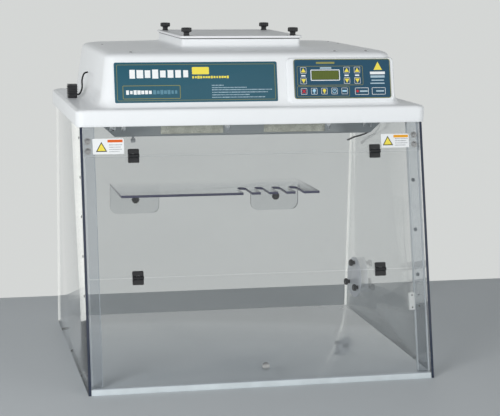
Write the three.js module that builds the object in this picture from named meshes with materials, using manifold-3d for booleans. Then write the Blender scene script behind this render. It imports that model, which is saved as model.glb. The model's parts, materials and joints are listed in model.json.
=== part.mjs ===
// Benchtop PCR workstation: a clear cabinet with a slanted bi-fold front under a blower and filter head.
// Millimetres. +X is right, -Y is the front and +Z is up. Inside the group, y = 0 is the cabinet's
// front bottom edge; the group is shifted at the end so that its origin is the centre of the footprint.
import * as THREE from "three";
import { mergeVertices } from "three/addons/utils/BufferGeometryUtils.js";
import Module from "manifold-3d";

const wasm = await Module();
wasm.setup();

// ---- driving dimensions ----
const CABINET_WIDTH = 796;
const CABINET_DEPTH = 635;
const EAVE = 573; // underside of the head
const PANEL_TOP = 600; // the panels end inside the head
const SLOPE_RUN = 142; // how far the front leans back between the floor and the eave
const PANEL = 6.35;
const BASE_THICKNESS = 12.3;
const GAP = 0.3;

const HALF = CABINET_WIDTH / 2;
const INNER_HALF = HALF - PANEL;
const BACK_INNER = CABINET_DEPTH - PANEL;
const SLOPE = Math.atan2(SLOPE_RUN, EAVE);
const COS = Math.cos(SLOPE);
const SIN = Math.sin(SLOPE);

// Heights along the sloping front, measured up the slope from the front bottom edge.
const UPPER_SEAM = 524;
const MIDDLE_SEAM = 253.5;
const DOOR_BOTTOM = 16;
const FRONT_TOP = PANEL_TOP / COS - 2;
const SEAM_GAP = 1.6;
const DOOR_HALF = 388;

const STRIP_WIDTH = 27;
const STRIP_DEPTH = 12.7;

const HINGE_X = 280;
const HINGE_WIDTH = 25;
const HINGE_LEAF = 15.5;
const HINGE_PLATE = 4.6;
const KNUCKLE_RADIUS = 4.4;
const HINGE_AXIS_OUT = 4.9; // the hinge pin stands this far in front of the doors
const PIN_RADIUS = 1.6;

const SHELF_LEFT = -260;
const SHELF_RIGHT = 248;
const SHELF_FRONT = 432;
const SHELF_BACK = BACK_INNER - GAP;
const SHELF_TOP = 366;
const SHELF_TAB_WIDTH = 130;
const SHELF_TAB_DROP = 82;
const SHELF_KNOB_X = [-195, 183];
const SHELF_KNOB_Z = 323;
const SHELF_STUD_HOLE = 3.4;
const NOTCH_X = [61, 106, 151, 196];
const NOTCH_WIDTH = 22;
const NOTCH_DEPTH = 78;

const PORT_Y = 554;
const PORT_Z = 107;
const PORT_COVER_RADIUS = 54;
const PORT_HOLE_RADIUS = 27;
const PORT_KNOB_CIRCLE = 40;

const FLANGE_HALF = 406;
const FLANGE_FRONT = 135;
const FLANGE_BACK = 662;
const FLANGE_TOP = 612;
const HEAD_TOP = 733;
const NECK_TOP = 757;
const NECK_HALF_X = 142;
const NECK_FRONT = 276;
const NECK_BACK = 580;
const LID_THICKNESS = 5;
const LID_OVERHANG = 4;
const LID_KNOB_X = 128;
const LID_KNOB_INSET = 18;

const FILTER_BOTTOM_HALF = 306;
const FILTER_HALF = 334; // above the sloping ends
const FILTER_SHOULDER = 564; // where the sloping ends meet the upright ones
const FILTER_FRONT = 232;
const FILTER_BACK = 602;
const FILTER_BOTTOM = 538;
const FILTER_TOP = 606;
const BAY_HALF_X = 302;
const LAMP_HALF_X = 248;
const FRONT_WINDOWS = [
  [-199, -51],
  [46, 194],
];

const KEY_TRAVEL_ROOM = 0.9;
const FACE_DEPTH = 4; // the head's front face stands this far behind the slope of the doors
const BEZEL_PROUD = 6;

// ---- colours ----
const CLEAR = { color: 0xdfe6e8, roughness: 0.08, metalness: 0, transparent: true, opacity: 0.25 };
const WHITE = { color: 0xe9edf0, roughness: 0.45, metalness: 0 };
const BLACK = { color: 0x17181b, roughness: 0.5, metalness: 0 };
const STEEL = { color: 0x9aa0a6, roughness: 0.35, metalness: 1 };
const TEAL = { color: 0x1f5570, roughness: 0.4, metalness: 0 };
const GREY = { color: 0xb9bfc4, roughness: 0.35, metalness: 0 };
const YELLOW = { color: 0xe2c93a, roughness: 0.4, metalness: 0 };
const LIME = { color: 0x5c6a1c, roughness: 0.3, metalness: 0 };
const RED = { color: 0xb5262b, roughness: 0.4, metalness: 0 };
const GREEN = { color: 0x2e6a3f, roughness: 0.6, metalness: 0 };
const CREAM = { color: 0xd9d6c6, roughness: 0.8, metalness: 0 };

const root = new THREE.Group();
const cabinet = new THREE.Group();
root.add(cabinet);

// Local z runs up the slope and local y runs squarely into the cabinet.
const front = new THREE.Group();
front.rotation.x = -SLOPE;
cabinet.add(front);

function addPart(parent, name, geometry, look, position = [0, 0, 0], rotation = [0, 0, 0]) {
  const mesh = new THREE.Mesh(geometry, new THREE.MeshStandardMaterial(look));
  mesh.name = name;
  mesh.position.set(...position);
  mesh.rotation.set(...rotation);
  parent.add(mesh);
  return mesh;
}

// ---- solids ----
function bareMesh(geometry) {
  const bare = geometry.clone();
  for (const attribute of Object.keys(bare.attributes)) {
    if (attribute !== "position") {
      bare.deleteAttribute(attribute);
    }
  }
  return mergeVertices(bare, 1e-4);
}

function solid(geometry) {
  const merged = bareMesh(geometry);
  return new wasm.Manifold(
    new wasm.Mesh({
      numProp: 3,
      vertProperties: new Float32Array(merged.attributes.position.array),
      triVerts: new Uint32Array(merged.index.array),
    }),
  );
}

function fromSolid(body) {
  const mesh = body.getMesh();
  const geometry = new THREE.BufferGeometry();
  geometry.setAttribute("position", new THREE.BufferAttribute(mesh.vertProperties, 3));
  geometry.setIndex(new THREE.BufferAttribute(mesh.triVerts, 1));
  return geometry;
}

function join(...geometries) {
  return fromSolid(geometries.map(solid).reduce((a, b) => a.add(b)));
}

function cut(geometry, ...tools) {
  return fromSolid(tools.map(solid).reduce((a, b) => a.subtract(b), solid(geometry)));
}

function box(x0, x1, y0, y1, z0, z1) {
  const geometry = new THREE.BoxGeometry(x1 - x0, y1 - y0, z1 - z0);
  return geometry.translate((x0 + x1) / 2, (y0 + y1) / 2, (z0 + z1) / 2);
}

// A cylinder along "x", "y" or "z" between two stations on that axis.
function rod(axis, radius, from, to, centre = [0, 0, 0], sides = 20) {
  const geometry = new THREE.CylinderGeometry(radius, radius, to - from, sides);
  geometry.translate(0, (from + to) / 2, 0);
  if (axis === "x") {
    geometry.rotateZ(-Math.PI / 2);
  }
  if (axis === "z") {
    geometry.rotateX(Math.PI / 2);
  }
  return geometry.translate(...centre);
}

function extrude(shape, depth, curveSegments = 5) {
  return new THREE.ExtrudeGeometry(shape, { depth, bevelEnabled: false, curveSegments });
}

function roundedRectangle(x0, x1, y0, y1, radius) {
  const shape = new THREE.Shape();
  shape.moveTo(x0 + radius, y0);
  shape.lineTo(x1 - radius, y0);
  shape.absarc(x1 - radius, y0 + radius, radius, -Math.PI / 2, 0);
  shape.lineTo(x1, y1 - radius);
  shape.absarc(x1 - radius, y1 - radius, radius, 0, Math.PI / 2);
  shape.lineTo(x0 + radius, y1);
  shape.absarc(x0 + radius, y1 - radius, radius, Math.PI / 2, Math.PI);
  shape.lineTo(x0, y0 + radius);
  shape.absarc(x0 + radius, y0 + radius, radius, Math.PI, 1.5 * Math.PI);
  return shape;
}

// A plate in the slope's plane: x across, s up the slope, from depth y0 to y1.
function slopePlate(x0, x1, s0, s1, y0, y1, radius, curveSegments = 4) {
  const geometry = extrude(roundedRectangle(x0, x1, -s1, -s0, radius), y1 - y0, curveSegments);
  geometry.rotateX(-Math.PI / 2);
  return geometry.translate(0, y0, 0);
}

// Shapes in the YZ plane, extruded along x.
function sideExtrude(points, x0, x1) {
  const shape = new THREE.Shape(points.map(([y, z]) => new THREE.Vector2(y, z)));
  const geometry = extrude(shape, x1 - x0);
  geometry.rotateY(Math.PI / 2);
  geometry.rotateX(Math.PI / 2);
  return geometry.translate(x0, 0, 0);
}

// Closed skin through rounded rectangles; the last ring joins the first.
function ringLoft(rings, cornerPoints = 5) {
  const positions = [];
  for (const { z, halfX, yFront, yBack, radius } of rings) {
    const corners = [
      [halfX - radius, yFront + radius, -Math.PI / 2],
      [halfX - radius, yBack - radius, 0],
      [-halfX + radius, yBack - radius, Math.PI / 2],
      [-halfX + radius, yFront + radius, Math.PI],
    ];
    for (const [cx, cy, start] of corners) {
      for (let i = 0; i < cornerPoints; i++) {
        const angle = start + (i / (cornerPoints - 1)) * (Math.PI / 2);
        positions.push(cx + radius * Math.cos(angle), cy + radius * Math.sin(angle), z);
      }
    }
  }
  const perRing = 4 * cornerPoints;
  const indices = [];
  for (let r = 0; r < rings.length; r++) {
    const a = r * perRing;
    const b = ((r + 1) % rings.length) * perRing;
    for (let i = 0; i < perRing; i++) {
      const j = (i + 1) % perRing;
      indices.push(a + i, b + i, b + j, a + i, b + j, a + j);
    }
  }
  const geometry = new THREE.BufferGeometry();
  geometry.setAttribute("position", new THREE.Float32BufferAttribute(positions, 3));
  geometry.setIndex(indices);
  return geometry;
}

// A thumb knob: a fluted head on a narrower collar, with a stud. Local +z points out of its face,
// and z = 0 is the underside of the head.
function thumbKnob({ radius, headHeight, collarLength, studLength, studRadius }) {
  const shape = new THREE.Shape();
  const flutes = 10;
  const stepsPerFlute = 4;
  for (let i = 0; i < flutes * stepsPerFlute; i++) {
    const angle = (i / (flutes * stepsPerFlute)) * 2 * Math.PI;
    const r = radius * (1 - 0.05 * (1 - Math.cos(flutes * angle)));
    const point = [r * Math.cos(angle), r * Math.sin(angle)];
    if (i === 0) {
      shape.moveTo(...point);
    } else {
      shape.lineTo(...point);
    }
  }
  const head = extrude(shape, headHeight);
  const collar = rod("z", radius * 0.56, -collarLength, 1, [0, 0, 0], 16);
  const stud = rod("z", studRadius, -collarLength - studLength, 0, [0, 0, 0], 12);
  return join(head, collar, stud);
}

function tube(points, radius, steps, sides = 8) {
  const path = new THREE.CatmullRomCurve3(points.map((p) => new THREE.Vector3(...p)));
  const section = new THREE.Shape();
  for (let i = 0; i < sides; i++) {
    const angle = (i / sides) * 2 * Math.PI;
    const point = [radius * Math.cos(angle), radius * Math.sin(angle)];
    if (i === 0) {
      section.moveTo(...point);
    } else {
      section.lineTo(...point);
    }
  }
  return new THREE.ExtrudeGeometry(section, { steps, bevelEnabled: false, extrudePath: path });
}

// ---- cabinet panels ----
const slopeY = (z) => (z * SLOPE_RUN) / EAVE;

const baseProfile = [
  [0, 0],
  [BACK_INNER - GAP, 0],
  [BACK_INNER - GAP, BASE_THICKNESS],
  [slopeY(BASE_THICKNESS), BASE_THICKNESS],
];
addPart(cabinet, "base_panel", sideExtrude(baseProfile, -INNER_HALF + GAP, INNER_HALF - GAP), GREY);

const sideProfile = [
  [0, 0],
  [CABINET_DEPTH, 0],
  [CABINET_DEPTH, PANEL_TOP],
  [slopeY(PANEL_TOP), PANEL_TOP],
];
addPart(cabinet, "left_side_panel", sideExtrude(sideProfile, -HALF, -INNER_HALF), CLEAR);
const portHole = rod("x", PORT_HOLE_RADIUS, INNER_HALF - 5, HALF + 5, [0, PORT_Y, PORT_Z], 24);
const rightPanel = cut(sideExtrude(sideProfile, INNER_HALF, HALF), portHole);
addPart(cabinet, "right_side_panel", rightPanel, CLEAR);

const backPanel = box(-INNER_HALF + GAP, INNER_HALF - GAP, BACK_INNER, CABINET_DEPTH, 0, PANEL_TOP);
const shelfStudHoles = SHELF_KNOB_X.map((x) =>
  rod("y", SHELF_STUD_HOLE, BACK_INNER - 5, CABINET_DEPTH + 5, [x, 0, SHELF_KNOB_Z], 12),
);
addPart(cabinet, "back_panel", cut(backPanel, ...shelfStudHoles), CLEAR);

addPart(
  front,
  "front_fixed_panel",
  box(-INNER_HALF + GAP, INNER_HALF - GAP, 0, PANEL, UPPER_SEAM + SEAM_GAP / 2, FRONT_TOP),
  CLEAR,
);
const stripTop = FRONT_TOP - 8;
for (const [name, side] of [
  ["left_front_strip", -1],
  ["right_front_strip", 1],
]) {
  const outer = side * (INNER_HALF - GAP);
  const inner = side * (INNER_HALF - GAP - STRIP_WIDTH);
  const strip = box(
    Math.min(outer, inner),
    Math.max(outer, inner),
    PANEL + GAP,
    PANEL + GAP + STRIP_DEPTH,
    DOOR_BOTTOM + 2,
    stripTop,
  );
  addPart(front, name, strip, CLEAR);
}

// ---- bi-fold doors ----
addPart(
  front,
  "upper_door",
  slopePlate(-DOOR_HALF, DOOR_HALF, MIDDLE_SEAM + SEAM_GAP / 2, UPPER_SEAM - SEAM_GAP / 2, 0, PANEL, 3),
  CLEAR,
);
const pullStud = 2.2;
const PULL_S = 45;
const lowerDoor = slopePlate(
  -DOOR_HALF, DOOR_HALF, DOOR_BOTTOM, MIDDLE_SEAM - SEAM_GAP / 2, 0, PANEL, 3,
);
const pullHole = rod("y", pullStud + GAP, -5, PANEL + 5, [0, 0, PULL_S], 12);
addPart(front, "lower_door", cut(lowerDoor, pullHole), CLEAR);

const PULL_LENGTH = 12;
const pullProfile = [
  [0, PANEL],
  [pullStud, PANEL],
  [pullStud, -GAP],
  [5.5, -GAP],
  [5, -4],
  [6.5, -7],
  [9, -9.5],
  [9, -PULL_LENGTH + 1],
  [7.6, -PULL_LENGTH],
  [0, -PULL_LENGTH],
].map(([r, y]) => new THREE.Vector2(r, y));
const pullKnob = new THREE.LatheGeometry(pullProfile.reverse(), 20);
addPart(front, "door_pull_knob", pullKnob, STEEL, [0, 0, PULL_S]);

// ---- hinges ----
// Each hinge has an upper leaf that carries two knuckles and the moulded pin, and a lower leaf.
const knuckleY = -HINGE_AXIS_OUT;
const centreKnuckle = 9;
function leafPlate(s0, s1) {
  const half = HINGE_WIDTH / 2;
  return slopePlate(-half, half, s0, s1, -GAP - HINGE_PLATE, -GAP, 2.5);
}
function upperLeaf() {
  const half = HINGE_WIDTH / 2;
  const bare = join(
    leafPlate(0.4, HINGE_LEAF),
    rod("x", KNUCKLE_RADIUS, -half, half, [0, knuckleY, 0], 16),
  );
  const slot = box(
    -centreKnuckle / 2, centreKnuckle / 2, -20, 5, -KNUCKLE_RADIUS - 1, KNUCKLE_RADIUS + GAP,
  );
  const knuckles = cut(bare, slot);
  return join(knuckles, rod("x", PIN_RADIUS, -half + 1, half - 1, [0, knuckleY, 0], 12));
}
function lowerLeaf() {
  const half = HINGE_WIDTH / 2;
  const inner = centreKnuckle / 2 - GAP;
  const plate = leafPlate(-HINGE_LEAF, -0.4);
  const sideRoom = (x0, x1) => rod("x", KNUCKLE_RADIUS + GAP, x0, x1, [0, knuckleY, 0], 16);
  const bare = cut(plate, sideRoom(-half - 1, -inner), sideRoom(inner, half + 1));
  const withKnuckle = join(bare, rod("x", KNUCKLE_RADIUS, -inner, inner, [0, knuckleY, 0], 16));
  return cut(withKnuckle, rod("x", PIN_RADIUS + GAP, -half, half, [0, knuckleY, 0], 12));
}
for (const [row, seam] of [
  ["upper", UPPER_SEAM],
  ["middle", MIDDLE_SEAM],
]) {
  for (const [sideName, side] of [
    ["left", -1],
    ["right", 1],
  ]) {
    const place = [side * HINGE_X, 0, seam];
    addPart(front, `${row}_${sideName}_hinge_top_leaf`, upperLeaf(), BLACK, place);
    addPart(front, `${row}_${sideName}_hinge_bottom_leaf`, lowerLeaf(), BLACK, place);
  }
}

// ---- interlock switch, on the inner edge of the right strip ----
const SWITCH_S = 177;
const SWITCH_HALF_WIDTH = 6.5;
const SWITCH_HALF_LENGTH = 20;
const SWITCH_THICKNESS = 8;
const switchX = INNER_HALF - 2 * GAP - STRIP_WIDTH - SWITCH_HALF_WIDTH;
addPart(
  front,
  "interlock_switch",
  slopePlate(
    -SWITCH_HALF_WIDTH, SWITCH_HALF_WIDTH, -SWITCH_HALF_LENGTH, SWITCH_HALF_LENGTH, 0, SWITCH_THICKNESS, 2,
  ),
  WHITE,
  [switchX, PANEL + 2 * GAP + 2, SWITCH_S],
);

// ---- shelf ----
const shelfPlate = box(SHELF_LEFT, SHELF_RIGHT, SHELF_FRONT, SHELF_BACK, SHELF_TOP - PANEL, SHELF_TOP);
const shelfTab = (x0, x1) => {
  const outline = roundedRectangle(x0, x1, SHELF_TOP - SHELF_TAB_DROP, SHELF_TOP + 20, 20);
  const geometry = extrude(outline, PANEL, 4);
  geometry.rotateX(Math.PI / 2);
  return geometry.translate(0, SHELF_BACK, 0);
};
const notchTool = (x) => {
  const radius = NOTCH_WIDTH / 2;
  const slot = box(x - radius, x + radius, SHELF_FRONT - 5, SHELF_FRONT + NOTCH_DEPTH - radius, 340, 380);
  const end = rod("z", radius, 340, 380, [x, SHELF_FRONT + NOTCH_DEPTH - radius, 0], 16);
  return join(slot, end);
};
const tabTrim = box(SHELF_LEFT - 5, SHELF_RIGHT + 5, SHELF_BACK - 50, SHELF_BACK + 5, SHELF_TOP, 420);
const tabs = [
  shelfTab(SHELF_LEFT, SHELF_LEFT + SHELF_TAB_WIDTH),
  shelfTab(SHELF_RIGHT - SHELF_TAB_WIDTH, SHELF_RIGHT),
];
const shelfHoles = SHELF_KNOB_X.map((x) =>
  rod("y", SHELF_STUD_HOLE, SHELF_BACK - PANEL - 5, SHELF_BACK + 5, [x, 0, SHELF_KNOB_Z], 12),
);
const shelf = cut(join(shelfPlate, ...tabs), tabTrim, ...NOTCH_X.map(notchTool), ...shelfHoles);
addPart(cabinet, "shelf", shelf, CLEAR);

const STUD_RADIUS = 3;
const shelfKnob = {
  radius: 10.5, headHeight: 8.5, collarLength: 5.9, studLength: 2 * PANEL + 2, studRadius: STUD_RADIUS,
};
["left_shelf_knob", "right_shelf_knob"].forEach((name, i) => {
  const seat = SHELF_BACK - PANEL - GAP;
  const place = [SHELF_KNOB_X[i], seat - shelfKnob.collarLength, SHELF_KNOB_Z];
  addPart(cabinet, name, thumbKnob(shelfKnob), BLACK, place, [Math.PI / 2, 0, 0]);
});

// ---- cable port in the right wall ----
const portKnobPlaces = [90, 210, 330].map((degrees) => {
  const angle = (degrees * Math.PI) / 180;
  return [PORT_Y + PORT_KNOB_CIRCLE * Math.cos(angle), PORT_Z + PORT_KNOB_CIRCLE * Math.sin(angle)];
});
const PORT_COVER_THICKNESS = 3;
const portKnob = {
  radius: 9, headHeight: 8, collarLength: 5.4, studLength: 2.2, studRadius: STUD_RADIUS - 0.5,
};
const coverInner = INNER_HALF - GAP - PORT_COVER_THICKNESS;
const portDisc = rod("x", PORT_COVER_RADIUS, coverInner, INNER_HALF - GAP, [0, PORT_Y, PORT_Z], 36);
const portStudHoles = portKnobPlaces.map(([y, z]) =>
  rod("x", STUD_RADIUS + GAP, coverInner - 5, INNER_HALF + 5, [0, y, z], 12),
);
addPart(cabinet, "port_cover", cut(portDisc, ...portStudHoles), WHITE);
portKnobPlaces.forEach(([y, z], i) => {
  const place = [coverInner - GAP - portKnob.collarLength, y, z];
  addPart(cabinet, `port_knob_${i + 1}`, thumbKnob(portKnob), BLACK, place, [0, -Math.PI / 2, 0]);
});

// ---- head shell ----
const ring = (z, halfX, yFront, yBack, radius) => ({ z, halfX, yFront, yBack, radius });
const WALL = 3.5;
const NECK_WALL = 5;
const NECK_RADIUS = 8;
const neckInner = NECK_HALF_X - NECK_WALL;
const headRings = [
  ring(NECK_TOP, neckInner, NECK_FRONT + NECK_WALL, NECK_BACK - NECK_WALL, 6),
  ring(NECK_TOP, NECK_HALF_X, NECK_FRONT, NECK_BACK, NECK_RADIUS),
  ring(HEAD_TOP + 10, NECK_HALF_X, NECK_FRONT, NECK_BACK, NECK_RADIUS),
  ring(HEAD_TOP + 6, NECK_HALF_X + 5, NECK_FRONT - 5, NECK_BACK + 5, 13),
  ring(HEAD_TOP + 1, 306, 210, 604, 26),
  ring(HEAD_TOP - 2, 324, 193, 618, 26),
  ring(HEAD_TOP - 6, 331, 186, 624, 26),
  ring(HEAD_TOP - 12, 334, 182.4, 628, 26),
  ring(634, 346, 160.5, 642, 26),
  ring(623, 348.5, 156.5, 645, 28),
  ring(615, 355, 150, 651, 33),
  ring(FLANGE_TOP, 364, 146, 655, 38),
  ring(FLANGE_TOP - 1, 398, 140, 659, 20),
  ring(FLANGE_TOP - 4, 404, 136.4, 661.4, 20),
  ring(FLANGE_TOP - 9, FLANGE_HALF, FLANGE_FRONT, FLANGE_BACK, 20),
  ring(EAVE + 3, FLANGE_HALF, FLANGE_FRONT, FLANGE_BACK, 20),
  ring(EAVE, FLANGE_HALF - 2, FLANGE_FRONT + 1.4, FLANGE_BACK - 2, 18),
  ring(EAVE, FLANGE_HALF - WALL, FLANGE_FRONT + 2.6, FLANGE_BACK - WALL, 10),
  ring(PANEL_TOP + GAP, FLANGE_HALF - WALL, FLANGE_FRONT + 3, FLANGE_BACK - WALL, 10),
  ring(FLANGE_TOP - 6, 352, 160, 645, 30),
  ring(630, 342.5, 165, 638, 22.5),
  ring(HEAD_TOP - 18, 331, 184.5, 624, 22.5),
  ring(HEAD_TOP - 5, 300, 214, 600, 22.5),
  ring(HEAD_TOP + 2, neckInner, NECK_FRONT + NECK_WALL, NECK_BACK - NECK_WALL, 6),
];
const BEZEL = { x0: 80, x1: 336, s0: 638, s1: 741 };
const bezelPad = slopePlate(
  BEZEL.x0, BEZEL.x1, BEZEL.s0, BEZEL.s1, FACE_DEPTH - BEZEL_PROUD, FACE_DEPTH + 6, 10,
);
bezelPad.rotateX(-SLOPE);
const INLET = { x: -250, z: 660, halfX: 24, halfZ: 16 };
const inletHole = box(
  INLET.x - INLET.halfX - GAP, INLET.x + INLET.halfX + GAP, FILTER_BACK, FLANGE_BACK + 20,
  INLET.z - INLET.halfZ - GAP, INLET.z + INLET.halfZ + GAP,
);
addPart(cabinet, "head_shell", cut(join(ringLoft(headRings), bezelPad), inletHole), WHITE);

// ---- pre-filter, gasket and lid on the neck ----
const GASKET_ROOM = 2.2;
const lidUnder = NECK_TOP + GASKET_ROOM;
const gasketSheet = extrude(
  roundedRectangle(-NECK_HALF_X, NECK_HALF_X, NECK_FRONT, NECK_BACK, NECK_RADIUS), GASKET_ROOM - 2 * GAP,
).translate(0, 0, NECK_TOP + GAP);
const gasketWindow = box(
  -neckInner, neckInner, NECK_FRONT + NECK_WALL, NECK_BACK - NECK_WALL, NECK_TOP - 5, NECK_TOP + 9,
);
addPart(cabinet, "lid_gasket", cut(gasketSheet, gasketWindow), BLACK);
addPart(
  cabinet,
  "prefilter",
  box(
    -neckInner + 2, neckInner - 2, NECK_FRONT + NECK_WALL + 2, NECK_BACK - NECK_WALL - 2,
    HEAD_TOP + 8, NECK_TOP - 2,
  ),
  GREEN,
);

const lidKnobPlaces = [
  ["front_left", -LID_KNOB_X, NECK_FRONT + LID_KNOB_INSET],
  ["front_right", LID_KNOB_X, NECK_FRONT + LID_KNOB_INSET],
  ["back_left", -LID_KNOB_X, NECK_BACK - LID_KNOB_INSET],
  ["back_right", LID_KNOB_X, NECK_BACK - LID_KNOB_INSET],
];
const lidSheet = extrude(
  roundedRectangle(
    -NECK_HALF_X - LID_OVERHANG, NECK_HALF_X + LID_OVERHANG,
    NECK_FRONT - LID_OVERHANG, NECK_BACK + LID_OVERHANG, 10,
  ),
  LID_THICKNESS,
).translate(0, 0, lidUnder);
const lidHoles = lidKnobPlaces.map(([, x, y]) =>
  rod("z", STUD_RADIUS + GAP, lidUnder - 5, lidUnder + LID_THICKNESS + 5, [x, y, 0], 12),
);
addPart(cabinet, "filter_lid", cut(lidSheet, ...lidHoles), WHITE);
const lidKnob = {
  radius: 12.5, headHeight: 10, collarLength: 8.4, studLength: LID_THICKNESS - 1, studRadius: STUD_RADIUS,
};
const lidKnobSeat = lidUnder + LID_THICKNESS + GAP;
for (const [name, x, y] of lidKnobPlaces) {
  const place = [x, y, lidKnobSeat + lidKnob.collarLength];
  addPart(cabinet, `lid_knob_${name}`, thumbKnob(lidKnob), BLACK, place);
}

// ---- hung filter frame, filter and lamps ----
const SHEET = 2;
const LAMP_BAY_BACK = 318;
const SEAT_LEDGE = 16; // the filter rests on this much of the floor sheet, all round
const FRAME_FLOOR = FILTER_BOTTOM + SHEET;
function framePrism(bottomHalf, half, bottom, shoulder, top, y0, y1) {
  const outline = [
    [-bottomHalf, bottom],
    [bottomHalf, bottom],
    [half, shoulder],
    [half, top],
    [-half, top],
    [-half, shoulder],
  ].map(([x, z]) => new THREE.Vector2(x, z));
  const geometry = extrude(new THREE.Shape(outline), y1 - y0);
  geometry.rotateX(Math.PI / 2);
  return geometry.translate(0, y1, 0);
}
const frameOuter = framePrism(
  FILTER_BOTTOM_HALF, FILTER_HALF, FILTER_BOTTOM, FILTER_SHOULDER, FILTER_TOP, FILTER_FRONT, FILTER_BACK,
);
const frameInner = framePrism(
  FILTER_BOTTOM_HALF - 0.8, FILTER_HALF - SHEET, FRAME_FLOOR, FILTER_SHOULDER + 0.9, FILTER_TOP + 10,
  FILTER_FRONT + SHEET, FILTER_BACK - SHEET,
);
const divider = box(
  -BAY_HALF_X, BAY_HALF_X, LAMP_BAY_BACK, LAMP_BAY_BACK + SHEET, FILTER_BOTTOM + 1, FILTER_TOP - 6,
);
const lampBrackets = [-1, 1].map((side) => {
  const x = side * (LAMP_HALF_X + SHEET / 2);
  return box(
    x - SHEET / 2, x + SHEET / 2, FILTER_FRONT + 1, LAMP_BAY_BACK + 1, FILTER_BOTTOM + 1, FILTER_TOP - 6,
  );
});
const lampOpening = box(
  -LAMP_HALF_X, LAMP_HALF_X, FILTER_FRONT + SHEET, LAMP_BAY_BACK, FILTER_BOTTOM - 5, FRAME_FLOOR + 5,
);
const filterOpening = box(
  -BAY_HALF_X + SEAT_LEDGE, BAY_HALF_X - SEAT_LEDGE,
  LAMP_BAY_BACK + SHEET + SEAT_LEDGE, FILTER_BACK - SHEET - SEAT_LEDGE, FILTER_BOTTOM - 5, FRAME_FLOOR + 5,
);
const frontWindows = FRONT_WINDOWS.map(([x0, x1]) =>
  box(x0, x1, FILTER_FRONT - 5, FILTER_FRONT + SHEET + 1, FILTER_BOTTOM + 5, FILTER_SHOULDER + 8),
);
const frameSolid = cut(
  join(cut(frameOuter, frameInner), divider, ...lampBrackets),
  lampOpening, filterOpening, ...frontWindows,
);
addPart(cabinet, "filter_frame", frameSolid, STEEL);
addPart(
  cabinet,
  "front_filter_pad",
  box(
    FRONT_WINDOWS[0][0] - 8, FRONT_WINDOWS[1][1] + 8,
    FILTER_FRONT + SHEET + GAP, FILTER_FRONT + SHEET + GAP + 3,
    FILTER_BOTTOM + 2, FILTER_SHOULDER + 12,
  ),
  CREAM,
);
addPart(
  cabinet,
  "hepa_filter",
  box(
    -BAY_HALF_X + 1, BAY_HALF_X - 1, LAMP_BAY_BACK + SHEET + 1, FILTER_BACK - SHEET - 1,
    FRAME_FLOOR + GAP, FILTER_TOP - 2,
  ),
  CREAM,
);
const LAMP_Z = 566;
const LAMP_RADIUS = 13;
const PIN_LENGTH = 6;
const LAMP_PIN = 1.6;
const lampHalf = LAMP_HALF_X - GAP;
const lampProfile = [
  [0, -lampHalf],
  [LAMP_PIN, -lampHalf],
  [LAMP_PIN, -lampHalf + PIN_LENGTH],
  [LAMP_RADIUS, -lampHalf + PIN_LENGTH],
  [LAMP_RADIUS, lampHalf - PIN_LENGTH],
  [LAMP_PIN, lampHalf - PIN_LENGTH],
  [LAMP_PIN, lampHalf],
  [0, lampHalf],
].map(([r, y]) => new THREE.Vector2(r, y));
const lampTube = () => new THREE.LatheGeometry(lampProfile, 16).rotateZ(-Math.PI / 2);
addPart(cabinet, "uv_lamp", lampTube(), CREAM, [0, 256, LAMP_Z]);
addPart(cabinet, "white_lamp", lampTube(), CREAM, [0, 294, LAMP_Z]);

// ---- blower ----
const BLOWER_Y = 440;
const HOUSING = { bottom: 612, top: 712, wall: 2, bore: 106, inlet: 72, mouth: 190 };
const SHAFT_RADIUS = 4;
const SHAFT_TOP = 664;
const MOTOR_RADIUS = 33;
const scroll = new THREE.Shape();
const scrollSteps = 28;
for (let i = 0; i <= scrollSteps; i++) {
  const angle = (i / scrollSteps) * 1.75 * Math.PI;
  const radius = HOUSING.bore + 6 + (34 * i) / scrollSteps;
  const point = [radius * Math.cos(angle), radius * Math.sin(angle)];
  if (i === 0) {
    scroll.moveTo(...point);
  } else {
    scroll.lineTo(...point);
  }
}
scroll.lineTo(HOUSING.mouth, -103);
scroll.lineTo(HOUSING.mouth, -20);
scroll.lineTo(HOUSING.bore + 6, -20);
const housingBlock = extrude(scroll, HOUSING.top - HOUSING.bottom);
housingBlock.translate(0, BLOWER_Y, HOUSING.bottom);
const blowerCentre = [0, BLOWER_Y, 0];
const housing = cut(
  housingBlock,
  rod("z", HOUSING.bore, HOUSING.bottom + HOUSING.wall, HOUSING.top - HOUSING.wall, blowerCentre, 32),
  rod("z", HOUSING.inlet, HOUSING.top - 5, HOUSING.top + 5, blowerCentre, 32),
  rod("z", MOTOR_RADIUS + 1, HOUSING.bottom - 5, HOUSING.bottom + 5, blowerCentre, 24),
  box(60, HOUSING.mouth + 10, BLOWER_Y - 99, BLOWER_Y - 24, HOUSING.bottom + 6, HOUSING.top - 6),
);
addPart(cabinet, "blower_housing", housing, STEEL);
const motor = join(
  rod("z", MOTOR_RADIUS, HOUSING.bottom - 4, 650, blowerCentre, 24),
  rod("z", SHAFT_RADIUS, 645, SHAFT_TOP, blowerCentre, 12),
);
addPart(cabinet, "blower_motor", motor, BLACK);

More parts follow.
